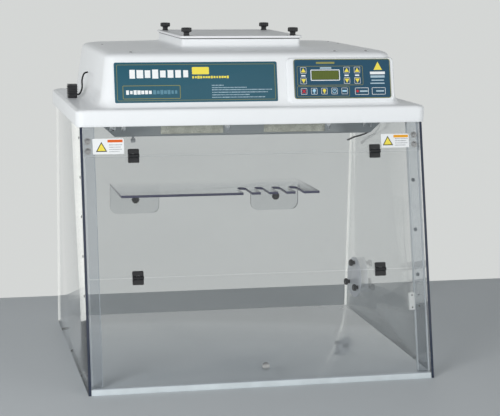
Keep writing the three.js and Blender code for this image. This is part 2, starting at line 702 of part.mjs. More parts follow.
const WHEEL = { radius: 98, bottom: 655, top: 701, plate: 4, blades: 20, eye: 66, hub: 16 };
const BLADE_TILT = 0.5;
const blades = [];
for (let i = 0; i < WHEEL.blades; i++) {
  const blade = box(70, 92, -1.2, 1.2, WHEEL.bottom - 1, WHEEL.top - 1);
  blade.rotateZ(BLADE_TILT);
  blade.rotateZ((i / WHEEL.blades) * 2 * Math.PI);
  blades.push(blade);
}
const disc = rod("z", WHEEL.radius, WHEEL.bottom - 2, WHEEL.bottom + 2, [0, 0, 0], 36);
const hub = rod("z", WHEEL.hub, WHEEL.bottom - 2, SHAFT_TOP + 4, [0, 0, 0], 16);
const rimOuter = rod("z", WHEEL.radius, WHEEL.top - WHEEL.plate, WHEEL.top, [0, 0, 0], 36);
const rimEye = rod("z", WHEEL.eye, WHEEL.top - 11, WHEEL.top + 9, [0, 0, 0], 36);
const shaftBore = rod("z", SHAFT_RADIUS + GAP, WHEEL.bottom - 9, SHAFT_TOP + 1, [0, 0, 0], 12);
const wheel = cut(join(disc, hub, cut(rimOuter, rimEye), ...blades), shaftBore);
addPart(cabinet, "blower_wheel", wheel, STEEL, [0, BLOWER_Y, 0]);

// ---- power inlet, outer lead and inner lead ----
const inletBody = box(
  INLET.x - INLET.halfX, INLET.x + INLET.halfX, 615, 652, INLET.z - INLET.halfZ, INLET.z + INLET.halfZ,
);
const inletSocket = box(INLET.x - 13, INLET.x + 13, 636, 660, INLET.z - 9, INLET.z + 9);
addPart(cabinet, "power_inlet", cut(inletBody, inletSocket), BLACK);

const PLUG = { x: -383, y: 404, half: 11, z0: FLANGE_TOP + GAP, z1: FLANGE_TOP + 33 };
const plugBlock = box(-PLUG.half, PLUG.half, -PLUG.half, PLUG.half, PLUG.z0, PLUG.z1);
const plugGrooves = [0, 1, 2, 3].map((i) => {
  const z = PLUG.z0 + 7 + i * 6;
  return box(-PLUG.half - 1, -PLUG.half + 1.2, -20, 20, z, z + 2.6);
});
addPart(cabinet, "flange_plug", cut(plugBlock, ...plugGrooves), BLACK, [PLUG.x, PLUG.y, 0]);
const leadRoute = [
  [PLUG.x + PLUG.half + 2 * GAP, PLUG.y, FLANGE_TOP + 8],
  [PLUG.x + PLUG.half + 6, PLUG.y, FLANGE_TOP + 8.6],
  [PLUG.x + PLUG.half + 13, PLUG.y + 3, FLANGE_TOP + 22],
  [PLUG.x + PLUG.half + 14, PLUG.y + 8, FLANGE_TOP + 42],
  [PLUG.x + PLUG.half + 20, PLUG.y + 12, FLANGE_TOP + 57],
  [PLUG.x + PLUG.half + 28.5, PLUG.y + 13, FLANGE_TOP + 60],
];
addPart(cabinet, "plug_lead", tube(leadRoute, 2, 16), BLACK);

const innerLeadRoute = [
  [386, 414, EAVE - 4],
  [386, 420, 547],
  [385.5, 438, 525],
  [385, 472, 508],
  [384.5, 522, 494],
  [384, 576, 482],
  [384, 612, 472],
  [384, BACK_INNER - 3 * GAP, 468],
];
addPart(cabinet, "interlock_lead", tube(innerLeadRoute, 2.2, 26), BLACK);

// ---- control panel on the head's sloping face ----
const panelOut = FACE_DEPTH - BEZEL_PROUD;
const PANEL_X0 = 96;
const PANEL_X1 = 326;
const PANEL_S0 = 646;
const PANEL_S1 = 737;
const overlayFront = panelOut - GAP - 1.6;
const keySize = 15;
const keyPlaces = [
  ["lamp_timer_up_key", 118, 711, YELLOW],
  ["lamp_timer_down_key", 118, 687, YELLOW],
  ["menu_up_key", 221, 711, YELLOW],
  ["menu_down_key", 221, 687, YELLOW],
  ["fan_speed_up_key", 246, 711, YELLOW],
  ["fan_speed_down_key", 246, 687, YELLOW],
  ["power_key", 118, 663, RED],
  ["uv_lamp_key", 142, 663, WHITE],
  ["white_lamp_key", 166, 663, YELLOW],
  ["fan_key", 190, 663, WHITE],
  ["reset_key", 214, 663, WHITE],
];
const keyWindow = (x, s, half) =>
  slopePlate(x - half, x + half, s - half, s + half, overlayFront - 5, panelOut - GAP - 0.9, 2, 2);
const DISPLAY = { x: 170, s: 700, halfX: 32, halfS: 10 };
const displayWindow = slopePlate(
  DISPLAY.x - DISPLAY.halfX - GAP, DISPLAY.x + DISPLAY.halfX + GAP,
  DISPLAY.s - DISPLAY.halfS - GAP, DISPLAY.s + DISPLAY.halfS + GAP,
  overlayFront - 5, panelOut - GAP - 0.8, 1.5,
);
const overlay = slopePlate(
  PANEL_X0, PANEL_X1, PANEL_S0, PANEL_S1, overlayFront, panelOut - GAP, 6,
);
const keyHoles = keyPlaces.map(([, x, s]) => keyWindow(x, s, keySize / 2 + GAP));
addPart(front, "control_panel", cut(overlay, displayWindow, ...keyHoles), TEAL);
const displayPlate = slopePlate(
  DISPLAY.x - DISPLAY.halfX, DISPLAY.x + DISPLAY.halfX,
  DISPLAY.s - DISPLAY.halfS, DISPLAY.s + DISPLAY.halfS,
  overlayFront - 0.2, panelOut - GAP - 0.8 - GAP, 1.5,
);
addPart(front, "display", displayPlate, LIME);
for (const [name, x, s, look] of keyPlaces) {
  const half = keySize / 2;
  const key = slopePlate(
    -half, half, -half, half, overlayFront - KEY_TRAVEL_ROOM, overlayFront - 0.1, 2, 2,
  );
  addPart(front, name, key, look, [x, 0, s]);
}
addPart(
  front,
  "controller_board",
  join(box(100, 320, 34, 35.6, 655, 730), box(130, 210, 24, 34.4, 690, 715)),
  GREEN,
);

// Centre the footprint on the origin: the pull knob is foremost and the flange is rearmost.
const pullReach = [
  [9, -PULL_LENGTH + 1],
  [7.6, -PULL_LENGTH],
].map(([r, y]) => (y * COS + (PULL_S - r) * SIN));
const frontMost = Math.min(...pullReach);
root.position.y = -(frontMost + FLANGE_BACK) / 2;

export default root;
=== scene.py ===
import json
import math

import bmesh
import bpy
from mathutils import Matrix, Vector


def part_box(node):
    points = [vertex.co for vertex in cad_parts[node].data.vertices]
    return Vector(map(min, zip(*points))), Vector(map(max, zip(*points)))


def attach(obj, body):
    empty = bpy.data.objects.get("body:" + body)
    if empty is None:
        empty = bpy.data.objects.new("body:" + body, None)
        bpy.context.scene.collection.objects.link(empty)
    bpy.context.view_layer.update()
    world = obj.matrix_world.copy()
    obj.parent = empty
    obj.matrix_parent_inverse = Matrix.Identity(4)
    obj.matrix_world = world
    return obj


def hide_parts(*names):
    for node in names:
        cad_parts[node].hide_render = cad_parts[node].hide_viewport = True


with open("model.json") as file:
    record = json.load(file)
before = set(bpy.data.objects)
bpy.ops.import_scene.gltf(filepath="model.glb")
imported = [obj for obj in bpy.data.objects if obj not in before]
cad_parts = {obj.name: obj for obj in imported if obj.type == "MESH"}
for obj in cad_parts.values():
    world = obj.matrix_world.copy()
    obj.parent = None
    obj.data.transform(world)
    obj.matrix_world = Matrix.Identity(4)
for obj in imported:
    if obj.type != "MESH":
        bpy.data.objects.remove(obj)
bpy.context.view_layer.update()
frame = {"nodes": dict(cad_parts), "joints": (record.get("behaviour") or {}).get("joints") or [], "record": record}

# Sizes below are in millimetres; MM turns them into the scene's metres.
MM = 0.001


# ---- camera ----
CAMERA_PLACE = (-745.2, -3065.4, 924.2)
CAMERA_YAW = 10.638
CAMERA_PITCH = -10.564
CAMERA_ROLL = 0.346
CAMERA_LENS = 95.0
CAMERA_SHIFT = (0.17, 0.0072)


def make_camera():
    yaw, pitch, roll = (math.radians(a) for a in (CAMERA_YAW, CAMERA_PITCH, CAMERA_ROLL))
    ahead = Vector((math.sin(yaw) * math.cos(pitch), math.cos(yaw) * math.cos(pitch), math.sin(pitch)))
    level = Vector((math.cos(yaw), -math.sin(yaw), 0))
    upright = level.cross(ahead)
    right = level * math.cos(roll) + upright * math.sin(roll)
    up = upright * math.cos(roll) - level * math.sin(roll)
    data = bpy.data.cameras.new("camera")
    data.lens = CAMERA_LENS
    data.sensor_width = 36
    data.shift_x, data.shift_y = CAMERA_SHIFT
    camera = bpy.data.objects.new("camera", data)
    turn = Matrix((right, up, -ahead)).transposed().to_4x4()
    camera.matrix_world = Matrix.Translation(Vector(CAMERA_PLACE) * MM) @ turn
    bpy.context.scene.collection.objects.link(camera)
    bpy.context.scene.camera = camera


make_camera()


# ---- places taken from the frame ----
def span(node):
    """The node's lowest and highest corner."""
    low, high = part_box(node)
    return Vector(low) / MM, Vector(high) / MM


def centre(node):
    low, high = span(node)
    return (low + high) / 2


def pin_of(joint):
    found = next(j for j in frame["joints"] if j["name"] == joint)
    return Vector(found["pos_m"]) / MM


# SLOPE takes x, the way up the slope and the way out of it to the scene's axes.
UP_SLOPE = (pin_of("upper_door_swing") - pin_of("lower_door_fold")).normalized()
OUTWARD = Vector((0, -UP_SLOPE.z, UP_SLOPE.y))
FOOT = Vector((0, span("base_panel")[0].y, 0))
SLOPE = Matrix.Translation(FOOT) @ Matrix((Vector((1, 0, 0)), UP_SLOPE, OUTWARD)).transposed().to_4x4()


def on_slope(point):
    """A scene point as x, the way up the slope and the way out of it."""
    return SLOPE.inverted() @ Vector(point)


def facing(place, direction, spin=0.0):
    """A frame at place whose z axis points along direction."""
    turn = Vector(direction).to_track_quat("Z", "Y").to_matrix().to_4x4()
    return Matrix.Translation(Vector(place)) @ turn @ Matrix.Rotation(spin, 4, "Z")


# ---- node trees ----
class Term:
    """A socket in a node tree. Arithmetic adds Math nodes, and node() adds any other."""

    def __init__(self, tree, socket=None):
        self.tree = tree
        self.socket = socket

    def node(self, kind, settings=None, inputs=None, output=0):
        made = self.tree.nodes.new(kind)
        for name, value in (settings or {}).items():
            if name == "stops":
                set_stops(made.color_ramp.elements, value)
            else:
                setattr(made, name, value)
        for name, value in (inputs or {}).items():
            if isinstance(value, Term):
                self.tree.links.new(value.socket, made.inputs[name])
            else:
                made.inputs[name].default_value = value
        return Term(self.tree, made.outputs[output] if made.outputs else None)

    def maths(self, operation, *values):
        return self.node("ShaderNodeMath", {"operation": operation}, dict(enumerate(values)))

    def __add__(self, other):
        return self.maths("ADD", self, other)

    def __mul__(self, other):
        return self.maths("MULTIPLY", self, other)

    def __pow__(self, other):
        return self.maths("POWER", self, other)

    def __lt__(self, other):
        return self.maths("LESS_THAN", self, other)

    __radd__ = __add__
    __rmul__ = __mul__


def set_stops(elements, stops):
    while len(elements) < len(stops):
        elements.new(1)
    for element, (place, colour) in zip(elements, stops):
        element.position = place
        element.color = (*colour, 1)


def new_finish(name):
    material = bpy.data.materials.new(name)
    material.use_nodes = True
    material.node_tree.nodes.clear()
    return material, Term(material.node_tree)


def cover(sheet, shader):
    sheet.node("ShaderNodeOutputMaterial", None, {"Surface": shader})


def surface(sheet, inputs):
    return sheet.node("ShaderNodeBsdfPrincipled", None, inputs)


def shades(colour, spread):
    """A darker and a lighter shade of a colour."""
    return tuple(c * (1 - spread) for c in colour), tuple(min(1, c * (1 + spread)) for c in colour)


def place_of(sheet):
    return sheet.node("ShaderNodeTexCoord", output="Object")


def noise(sheet, scale, detail=3.0, stretch=None, seed=0.0):
    """Noise on object coordinates, from about 0.3 to 0.7. stretch scales the axes."""
    place = place_of(sheet)
    place = sheet.node(
        "ShaderNodeMapping", None,
        {"Vector": place, "Scale": stretch or (1, 1, 1), "Location": (seed, seed, seed)},
    )
    return sheet.node("ShaderNodeTexNoise", None, {"Vector": place, "Scale": scale, "Detail": detail})


def bump(sheet, height, distance, strength=1.0):
    return sheet.node(
        "ShaderNodeBump", None, {"Height": height, "Distance": distance, "Strength": strength}
    )


def between(sheet, share, low, high):
    """A colour between low and high."""
    return sheet.node(
        "ShaderNodeMix", {"data_type": "RGBA"}, {0: share, 6: (*low, 1), 7: (*high, 1)}, output=2
    )


def moulded(name, colour, roughness, grain=900.0, grain_depth=0.00003, blotch=0.04, coat=0.0):
    """Moulded plastic: a fine grain, slow changes of shade and of gloss."""
    material, sheet = new_finish(name)
    slow = noise(sheet, 9)
    fine = noise(sheet, grain, 2)
    dark, light = shades(colour, blotch)
    cover(sheet, surface(sheet, {
        "Base Color": between(sheet, slow, dark, light),
        "Roughness": roughness * (0.8 + 0.4 * slow),
        "Normal": bump(sheet, fine, grain_depth),
        "Coat Weight": coat,
        "Coat Roughness": 0.08,
    }))
    return material


def printed(name, colour, roughness=0.42):
    """Screen-printed ink: nearly even, with a faint mottle."""
    return moulded(name, colour, roughness, grain=2500.0, grain_depth=0.00001, blotch=0.06)


def metal(name, colour, roughness, stretch=(1, 1, 1), grain=60.0, depth=0.00002):
    """Bare metal; a stretched grain makes it brushed."""
    material, sheet = new_finish(name)
    lines = noise(sheet, grain, 4, stretch)
    slow = noise(sheet, 7)
    cover(sheet, surface(sheet, {
        "Base Color": between(sheet, lines, tuple(c * 0.86 for c in colour), colour),
        "Metallic": 1.0,
        "Roughness": roughness * (0.6 + 0.5 * slow + 0.3 * lines),
        "Normal": bump(sheet, lines, depth),
    }))
    return material


GLASS_STEEPNESS = 5.0
BROADSIDE = 0.9


def clear_sheet(name, tint=(0.92, 0.926, 0.928), smear=0.03):
    """The polished faces of a clear sheet: see-through, with a gleam that grows towards the rim."""
    material, sheet = new_finish(name)
    smudge = noise(sheet, 14, 3)
    facing_away = sheet.node("ShaderNodeLayerWeight", None, {"Blend": 0.5}, output="Facing")
    gleam = 0.035 + 0.9 * facing_away ** GLASS_STEEPNESS
    clear = sheet.node("ShaderNodeBsdfTransparent", None, {"Color": (*tint, 1)})
    shine = surface(
        sheet, {"Base Color": (1, 1, 1, 1), "Metallic": 1.0, "Roughness": smear * (0.5 + smudge)}
    )
    cover(sheet, sheet.node("ShaderNodeMixShader", None, {0: gleam, 1: clear, 2: shine}))
    return material


def painted_sheet_edge(name, colour, glow=0.0, roughness=0.14):
    """The sawn and polished edge of a clear sheet. It gathers light from the whole sheet, and its colour
    is painted light and shade: a dark colour is painted shade, a bright colour and its glow are painted light."""
    material, sheet = new_finish(name)
    slow = noise(sheet, 22, 2)
    dark = tuple(c * 0.85 for c in colour)
    light = tuple(min(1, c * 1.15) for c in colour)
    cover(sheet, surface(sheet, {
        "Base Color": between(sheet, slow, dark, light),
        "Roughness": roughness * (0.7 + 0.6 * slow),
        "Coat Weight": 0.6,
        # painted glow: the edge gives off light of its own colour, though it is no lamp
        "Emission Color": (*colour, 1),
        "Emission Strength": glow,
    }))
    return material


SIDEWAYS = Vector((1, 0, 0))
BACKWARDS = Vector((0, 1, 0))
UPWARDS = Vector((0, 0, 1))

CLEAR_SHEET = clear_sheet("clear sheet")
CLEAR_STRIP = clear_sheet("clear strip", tint=(0.905, 0.92, 0.94), smear=0.1)
# Edge colours of the clear sheets, all painted light and shade: the navy and violet edges are painted shade, the
# strip and floor edges painted light, the pale and white edges painted light with a painted glow.
NAVY_SHADE_EDGE = painted_sheet_edge("navy painted shade sheet edge", (0.022, 0.03, 0.055))
STRIP_LIT_EDGE = painted_sheet_edge("painted light strip edge", (0.62, 0.66, 0.7))
PALE_GLOW_EDGE = painted_sheet_edge("pale painted glow sheet edge", (0.55, 0.58, 0.6), glow=0.15)
VIOLET_SHADE_EDGE = painted_sheet_edge("violet painted shade shelf edge", (0.06, 0.06, 0.12))
WHITE_GLOW_EDGE = painted_sheet_edge("white painted glow back edge", (0.85, 0.85, 0.82), glow=0.5)
FLOOR_LIT_EDGE = painted_sheet_edge("painted light floor edge", (0.6, 0.66, 0.69))


def floor_sheet():
    """Glossy light grey acrylic."""
    material, sheet = new_finish("grey floor sheet")
    cover(sheet, surface(sheet, {
        "Base Color": between(sheet, noise(sheet, 5, 3), (0.54, 0.58, 0.62), (0.58, 0.62, 0.66)),
        "Roughness": 0.1 + 0.08 * noise(sheet, 40, 2),
        "Normal": bump(sheet, noise(sheet, 18, 2), 0.00002),
        "Coat Weight": 0.7,
        "Coat Roughness": 0.04,
    }))
    return material


def fibre_pad(name, pale, dark, scale=420.0):
    """Matted fibres: a rough, broken-up surface."""
    material, sheet = new_finish(name)
    clumps = noise(sheet, scale, 6, (1, 1, 0.6))
    slow = noise(sheet, 60, 3)
    share = sheet.node(
        "ShaderNodeValToRGB", {"stops": [(0.36, (0, 0, 0)), (0.64, (1, 1, 1))]},
        {"Fac": clumps * 0.6 + slow * 0.4},
    )
    cover(sheet, surface(sheet, {
        "Base Color": between(sheet, share, dark, pale),
        "Roughness": 0.95,
        "Normal": bump(sheet, clumps, 0.0012),
    }))
    return material


def lamp_glass(name, colour, glow):
    """A frosted lamp tube."""
    material, sheet = new_finish(name)
    ends = noise(sheet, 30, 2)
    cover(sheet, surface(sheet, {
        "Base Color": between(sheet, ends, tuple(c * 0.9 for c in colour), colour),
        "Roughness": 0.12 + 0.1 * ends,
        "Coat Weight": 0.8,
        "Emission Strength": glow,
    }))
    return material


DISPLAY_CELLS = 16
CELL_GAP = 0.16  # the share of a cell's width that is the dark gap beside it


def display_window():
    """Olive liquid-crystal glass divided into character cells."""
    material, sheet = new_finish("display glass")
    place = place_of(sheet)
    low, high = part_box("display")
    pitch = (high[0] - low[0]) / DISPLAY_CELLS
    apart = sheet.node("ShaderNodeSeparateXYZ", None, {0: place}, output=0)
    along = sheet.maths("PINGPONG", apart, pitch / 2) * (2 / pitch)
    gap = along < CELL_GAP
    slow = noise(sheet, 35, 2)
    cell = between(sheet, slow, (0.075, 0.105, 0.006), (0.11, 0.145, 0.01))
    colour = sheet.node(
        "ShaderNodeMix", {"data_type": "RGBA"},
        {0: gap * 0.6, 6: cell, 7: (0.05, 0.07, 0.004, 1)}, output=2,
    )
    cover(sheet, surface(sheet, {
        "Base Color": colour,
        "Roughness": 0.25 + 0.1 * slow,
        "Coat Weight": 0.5,
        "Coat Roughness": 0.05,
    }))
    return material


def circuit_green():
    material, sheet = new_finish("circuit board green")
    tracks = sheet.node(
        "ShaderNodeTexWave", {"wave_type": "BANDS", "bands_direction": "DIAGONAL"},
        {"Vector": place_of(sheet), "Scale": 90.0, "Distortion": 6.0}, output=1,
    )
    cover(sheet, surface(sheet, {
        "Base Color": between(sheet, tracks, (0.01, 0.09, 0.03), (0.03, 0.2, 0.07)),
        "Roughness": 0.35 + 0.2 * tracks,
        "Normal": bump(sheet, tracks, 0.00004),
    }))
    return material


FLOOR_SHEET = floor_sheet()
WHITE_SHELL = moulded("white moulding", (0.83, 0.85, 0.87), 0.36, grain=700.0, blotch=0.025, coat=0.15)
WHITE_LID = moulded("white lid sheet", (0.8, 0.81, 0.83), 0.4, grain=1200.0, blotch=0.03)
WHITE_PLASTIC = moulded("white fitting", (0.78, 0.79, 0.78), 0.45)
PORT_PLASTIC = moulded("port cover sheet", (0.62, 0.64, 0.68), 0.3, coat=0.3)
BLACK_NYLON = moulded(
    "black nylon", (0.014, 0.014, 0.016), 0.42, grain=1500.0, grain_depth=0.00008, blotch=0.25, coat=0.5,
)
BLACK_RUBBER = moulded(
    "black rubber", (0.012, 0.013, 0.015), 0.6, grain=1100.0, grain_depth=0.00006, blotch=0.2,
)
TEAL_LABEL = moulded("teal label film", (0.021, 0.098, 0.142), 0.38, grain=2200.0, grain_depth=0.00002)
TEAL_KEYPAD = moulded(
    "dark teal keypad film", (0.013, 0.07, 0.125), 0.34, grain=2600.0, grain_depth=0.00002,
)
BRIGHT_STEEL = metal("bright screw steel", (0.6, 0.6, 0.6), 0.16)
POLISHED_END = metal("polished end sheet", (0.8, 0.82, 0.84), 0.1, stretch=(1, 1, 14))
BRUSHED_SHEET = metal("brushed frame sheet", (0.5, 0.53, 0.55), 0.34, stretch=(1, 40, 40), grain=25.0)
DULL_SHEET = metal("galvanised sheet", (0.5, 0.52, 0.53), 0.4, grain=120.0)
MAGNET_GREY = metal("catch disc steel", (0.42, 0.44, 0.46), 0.35)
WINDOW_PAD = fibre_pad("window pad fibre", (0.95, 0.95, 0.83), (0.5, 0.5, 0.42))
FILTER_PAPER = fibre_pad("filter paper", (0.8, 0.78, 0.7), (0.66, 0.64, 0.56), 900.0)
INTAKE_PAD = fibre_pad("intake pad fibre", (0.6, 0.64, 0.6), (0.3, 0.34, 0.32), 500.0)
UV_GLASS = lamp_glass("uv lamp glass", (0.75, 0.8, 0.86), 0.0)
WHITE_GLASS = lamp_glass("white lamp glass", (0.9, 0.9, 0.86), 0.0)
DISPLAY_GLASS = display_window()
CIRCUIT_GREEN = circuit_green()
WHITE_INK = printed("white ink", (0.86, 0.88, 0.89))
PALE_INK = printed("pale blue ink", (0.42, 0.55, 0.63))
DIM_INK = printed("dim blue ink", (0.11, 0.25, 0.33))
GOLD_INK = printed("gold ink", (0.27, 0.26, 0.08))
YELLOW_INK = printed("yellow ink", (0.86, 0.72, 0.09))
SKY_INK = printed("sky blue ink", (0.4, 0.66, 0.82))
RED_INK = printed("red ink", (0.55, 0.02, 0.03))
BLACK_INK = printed("black ink", (0.02, 0.02, 0.022))
GREY_INK = printed("grey ink", (0.3, 0.31, 0.33))
ORANGE_INK = printed("orange ink", (0.72, 0.12, 0.01))
AMBER_INK = printed("amber ink", (0.8, 0.36, 0.01))
LABEL_WHITE = printed("label white", (0.82, 0.84, 0.85), 0.3)


# ---- mesh making ----
def rounded(x0, x1, y0, y1, radius, steps=6):
    """A rounded rectangle, anticlockwise."""
    points = []
    for cx, cy, start in (
        (x1 - radius, y0 + radius, -90), (x1 - radius, y1 - radius, 0),
        (x0 + radius, y1 - radius, 90), (x0 + radius, y0 + radius, 180),
    ):
        for i in range(steps + 1):
            angle = math.radians(start + 90 * i / steps)
            points.append((cx + radius * math.cos(angle), cy + radius * math.sin(angle)))
    return points


def circle(x, y, radius, steps=32):
    turn = 2 * math.pi / steps
    return [(x + radius * math.cos(i * turn), y + radius * math.sin(i * turn)) for i in range(steps)]


def loop_at(bm, outline, height, place):
    return [bm.verts.new(place @ Vector((x, y, height))) for x, y in outline]


def join_loops(bm, first, second, finish=0):
    for i, corner in enumerate(first):
        after = (i + 1) % len(first)
        face = bm.faces.new((corner, first[after], second[after], second[i]))
        face.material_index = finish


def prism(bm, outline, low, high, place=SLOPE, finish=0):
    """A closed plate: an anticlockwise outline from one height to another."""
    bottom = loop_at(bm, outline, low, place)
    top = loop_at(bm, outline, high, place)
    join_loops(bm, bottom, top, finish)
    bm.faces.new(reversed(bottom)).material_index = finish
    bm.faces.new(top).material_index = finish


def ring(bm, outer, inner, low, high, place=SLOPE, finish=0):
    """A closed frame between two outlines of as many points."""
    loops = [
        loop_at(bm, outline, height, place)
        for outline, height in ((outer, low), (outer, high), (inner, high), (inner, low))
    ]
    for i, loop in enumerate(loops):
        join_loops(bm, loop, loops[(i + 1) % 4], finish)


def turned(bm, profile, place, steps=36, flutes=0, flute_depth=0.0, finish=0):
    """A closed turned solid: (radius, height) pairs from axis to axis, upwards. A point with a
    third value is fluted that much."""
    loops = []
    for radius, height, *fluted in profile:
        if radius == 0:
            loops.append([bm.verts.new(place @ Vector((0, 0, height)))])
            continue
        outline = []
        for i in range(steps):
            angle = 2 * math.pi * i / steps
            pinch = fluted[0] * flute_depth * (1 - math.cos(flutes * angle)) / 2 if fluted else 0
            outline.append(((radius - pinch) * math.cos(angle), (radius - pinch) * math.sin(angle)))
        loops.append(loop_at(bm, outline, height, place))
    for first, second in zip(loops, loops[1:]):
        for i in range(steps):
            after = (i + 1) % steps
            if len(first) == 1:
                corners = (first[0], second[after], second[i])
            elif len(second) == 1:
                corners = (first[i], first[after], second[0])
            else:
                corners = (first[i], first[after], second[after], second[i])
            bm.faces.new(corners).material_index = finish


def link(name, mesh):
    made = bpy.data.objects.new(name, mesh)
    bpy.context.scene.collection.objects.link(made)
    return made


def smooth(mesh, sharp=32):
    for face in mesh.polygons:
        face.use_smooth = True
    mesh.set_sharp_from_angle(angle=math.radians(sharp))


def apply_modifiers(made):
    """Bakes the modifiers into the mesh."""
    bpy.context.view_layer.update()
    evaluated = made.evaluated_get(bpy.context.evaluated_depsgraph_get())
    mesh = bpy.data.meshes.new_from_object(evaluated)
    made.modifiers.clear()
    made.data = mesh


def piece(name, bm, body, finishes, bevel=0.0, replaces=(), sharp=32, bevel_steps=2):
    """Turns a mesh in millimetres into a finished piece that rides on a body."""
    bmesh.ops.scale(bm, vec=(MM, MM, MM), verts=bm.verts)
    mesh = bpy.data.meshes.new(name)
    bm.to_mesh(mesh)
    bm.free()
    made = link(name, mesh)
    for finish in finishes:
        mesh.materials.append(finish)
    if bevel:
        soften(made, bevel, bevel_steps)
    smooth(made.data, sharp)
    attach(made, body)
    if replaces:
        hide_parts(*replaces)
    return made


def soften(made, width, steps=2, limit=38):
    """Rounds a piece's edges."""
    bevel = made.modifiers.new("rounded edges", "BEVEL")
    bevel.width = width * MM
    bevel.segments = steps
    bevel.limit_method = "ANGLE"
    bevel.angle_limit = math.radians(limit)
    bevel.harden_normals = False
    apply_modifiers(made)


BODIES = frame["record"]["behaviour"]["bodies"]
BODY_OF = {node: body for body, nodes in BODIES.items() for node in nodes}


def edged(made, painted_edge_finish, is_broad):
    """Gives a clear piece its edge finish, which is painted light and shade, on every face that isn't one of its
    broad ones.
    """
    for face in made.data.polygons:
        face.material_index = 0 if is_broad(face) else 1
    made.data.materials.append(painted_edge_finish)


def looks_along(direction):
    return lambda face: abs(face.normal.dot(direction)) > BROADSIDE


def softened(node, name, finish, width, steps=2):
    """A copy of a node with its edges rounded, standing for the node."""
    bm = bmesh.new()
    bm.from_mesh(frame["nodes"][node].data)
    bmesh.ops.remove_doubles(bm, verts=bm.verts, dist=1e-6)
    bmesh.ops.dissolve_limit(bm, angle_limit=math.radians(1), verts=bm.verts, edges=bm.edges)
    bmesh.ops.scale(bm, vec=(1 / MM, 1 / MM, 1 / MM), verts=bm.verts)
    return piece(name, bm, BODY_OF[node], [finish], width, [node], bevel_steps=steps)


def dress(node, finish):
    """Gives a CAD node its finish."""
    slots = frame["nodes"][node].material_slots
    for place in slots:
        place.material = finish
    if not slots:
        raise SystemExit(f"{node} has no material slot")


# ---- clear cabinet ----
POLISH = 0.5
TAB_DEPTH = 8  # the shelf's hanging tabs lie within this of its back


def clear_piece(node, name, painted_edge_finish, is_broad, finish=None):
    made = softened(node, name, finish or CLEAR_SHEET, POLISH)
    edged(made, painted_edge_finish, is_broad)
    return made


def make_cabinet():
    clear_piece("base_panel", "floor_sheet", FLOOR_LIT_EDGE, looks_along(UPWARDS), finish=FLOOR_SHEET)
    for side in ("left", "right"):
        made = clear_piece(
            f"{side}_side_panel", f"{side}_side_sheet", NAVY_SHADE_EDGE, looks_along(SIDEWAYS)
        )
        # the side sheets' back edges take the white glowing edge finish: a painted highlight along the rear
        # corners
        made.data.materials.append(WHITE_GLOW_EDGE)
        for face in made.data.polygons:
            if face.normal.y > BROADSIDE:
                face.material_index = 2
        clear_piece(
            f"{side}_front_strip", f"{side}_door_stop_strip", STRIP_LIT_EDGE, looks_along(OUTWARD),
            finish=CLEAR_STRIP,
        )
    clear_piece("back_panel", "back_sheet", WHITE_GLOW_EDGE, looks_along(BACKWARDS))
    for node, name in (
        ("front_fixed_panel", "fixed_front_sheet"),
        ("upper_door", "upper_door_sheet"),
        ("lower_door", "lower_door_sheet"),
    ):
        clear_piece(node, name, PALE_GLOW_EDGE, looks_along(OUTWARD))
    wall = (span("shelf")[1].y - TAB_DEPTH) * MM

    def shelf_broad(face):
        on_tab = abs(face.normal.y) > BROADSIDE and face.center.y > wall
        return on_tab or abs(face.normal.z) > BROADSIDE

    clear_piece("shelf", "shelf_sheet", VIOLET_SHADE_EDGE, shelf_broad)


# ---- head ----
# UPRIGHT takes x, height and the way towards the front to the scene's axes.
UPRIGHT = Matrix(((1, 0, 0, 0), (0, 0, -1, 0), (0, 1, 0, 0), (0, 0, 0, 1)))
NECK_HEIGHT = 24
FLANGE_HEIGHT = 39
FACE_STEP = 3.4  # how far the moulding's face lies behind the foot of the doors' slope


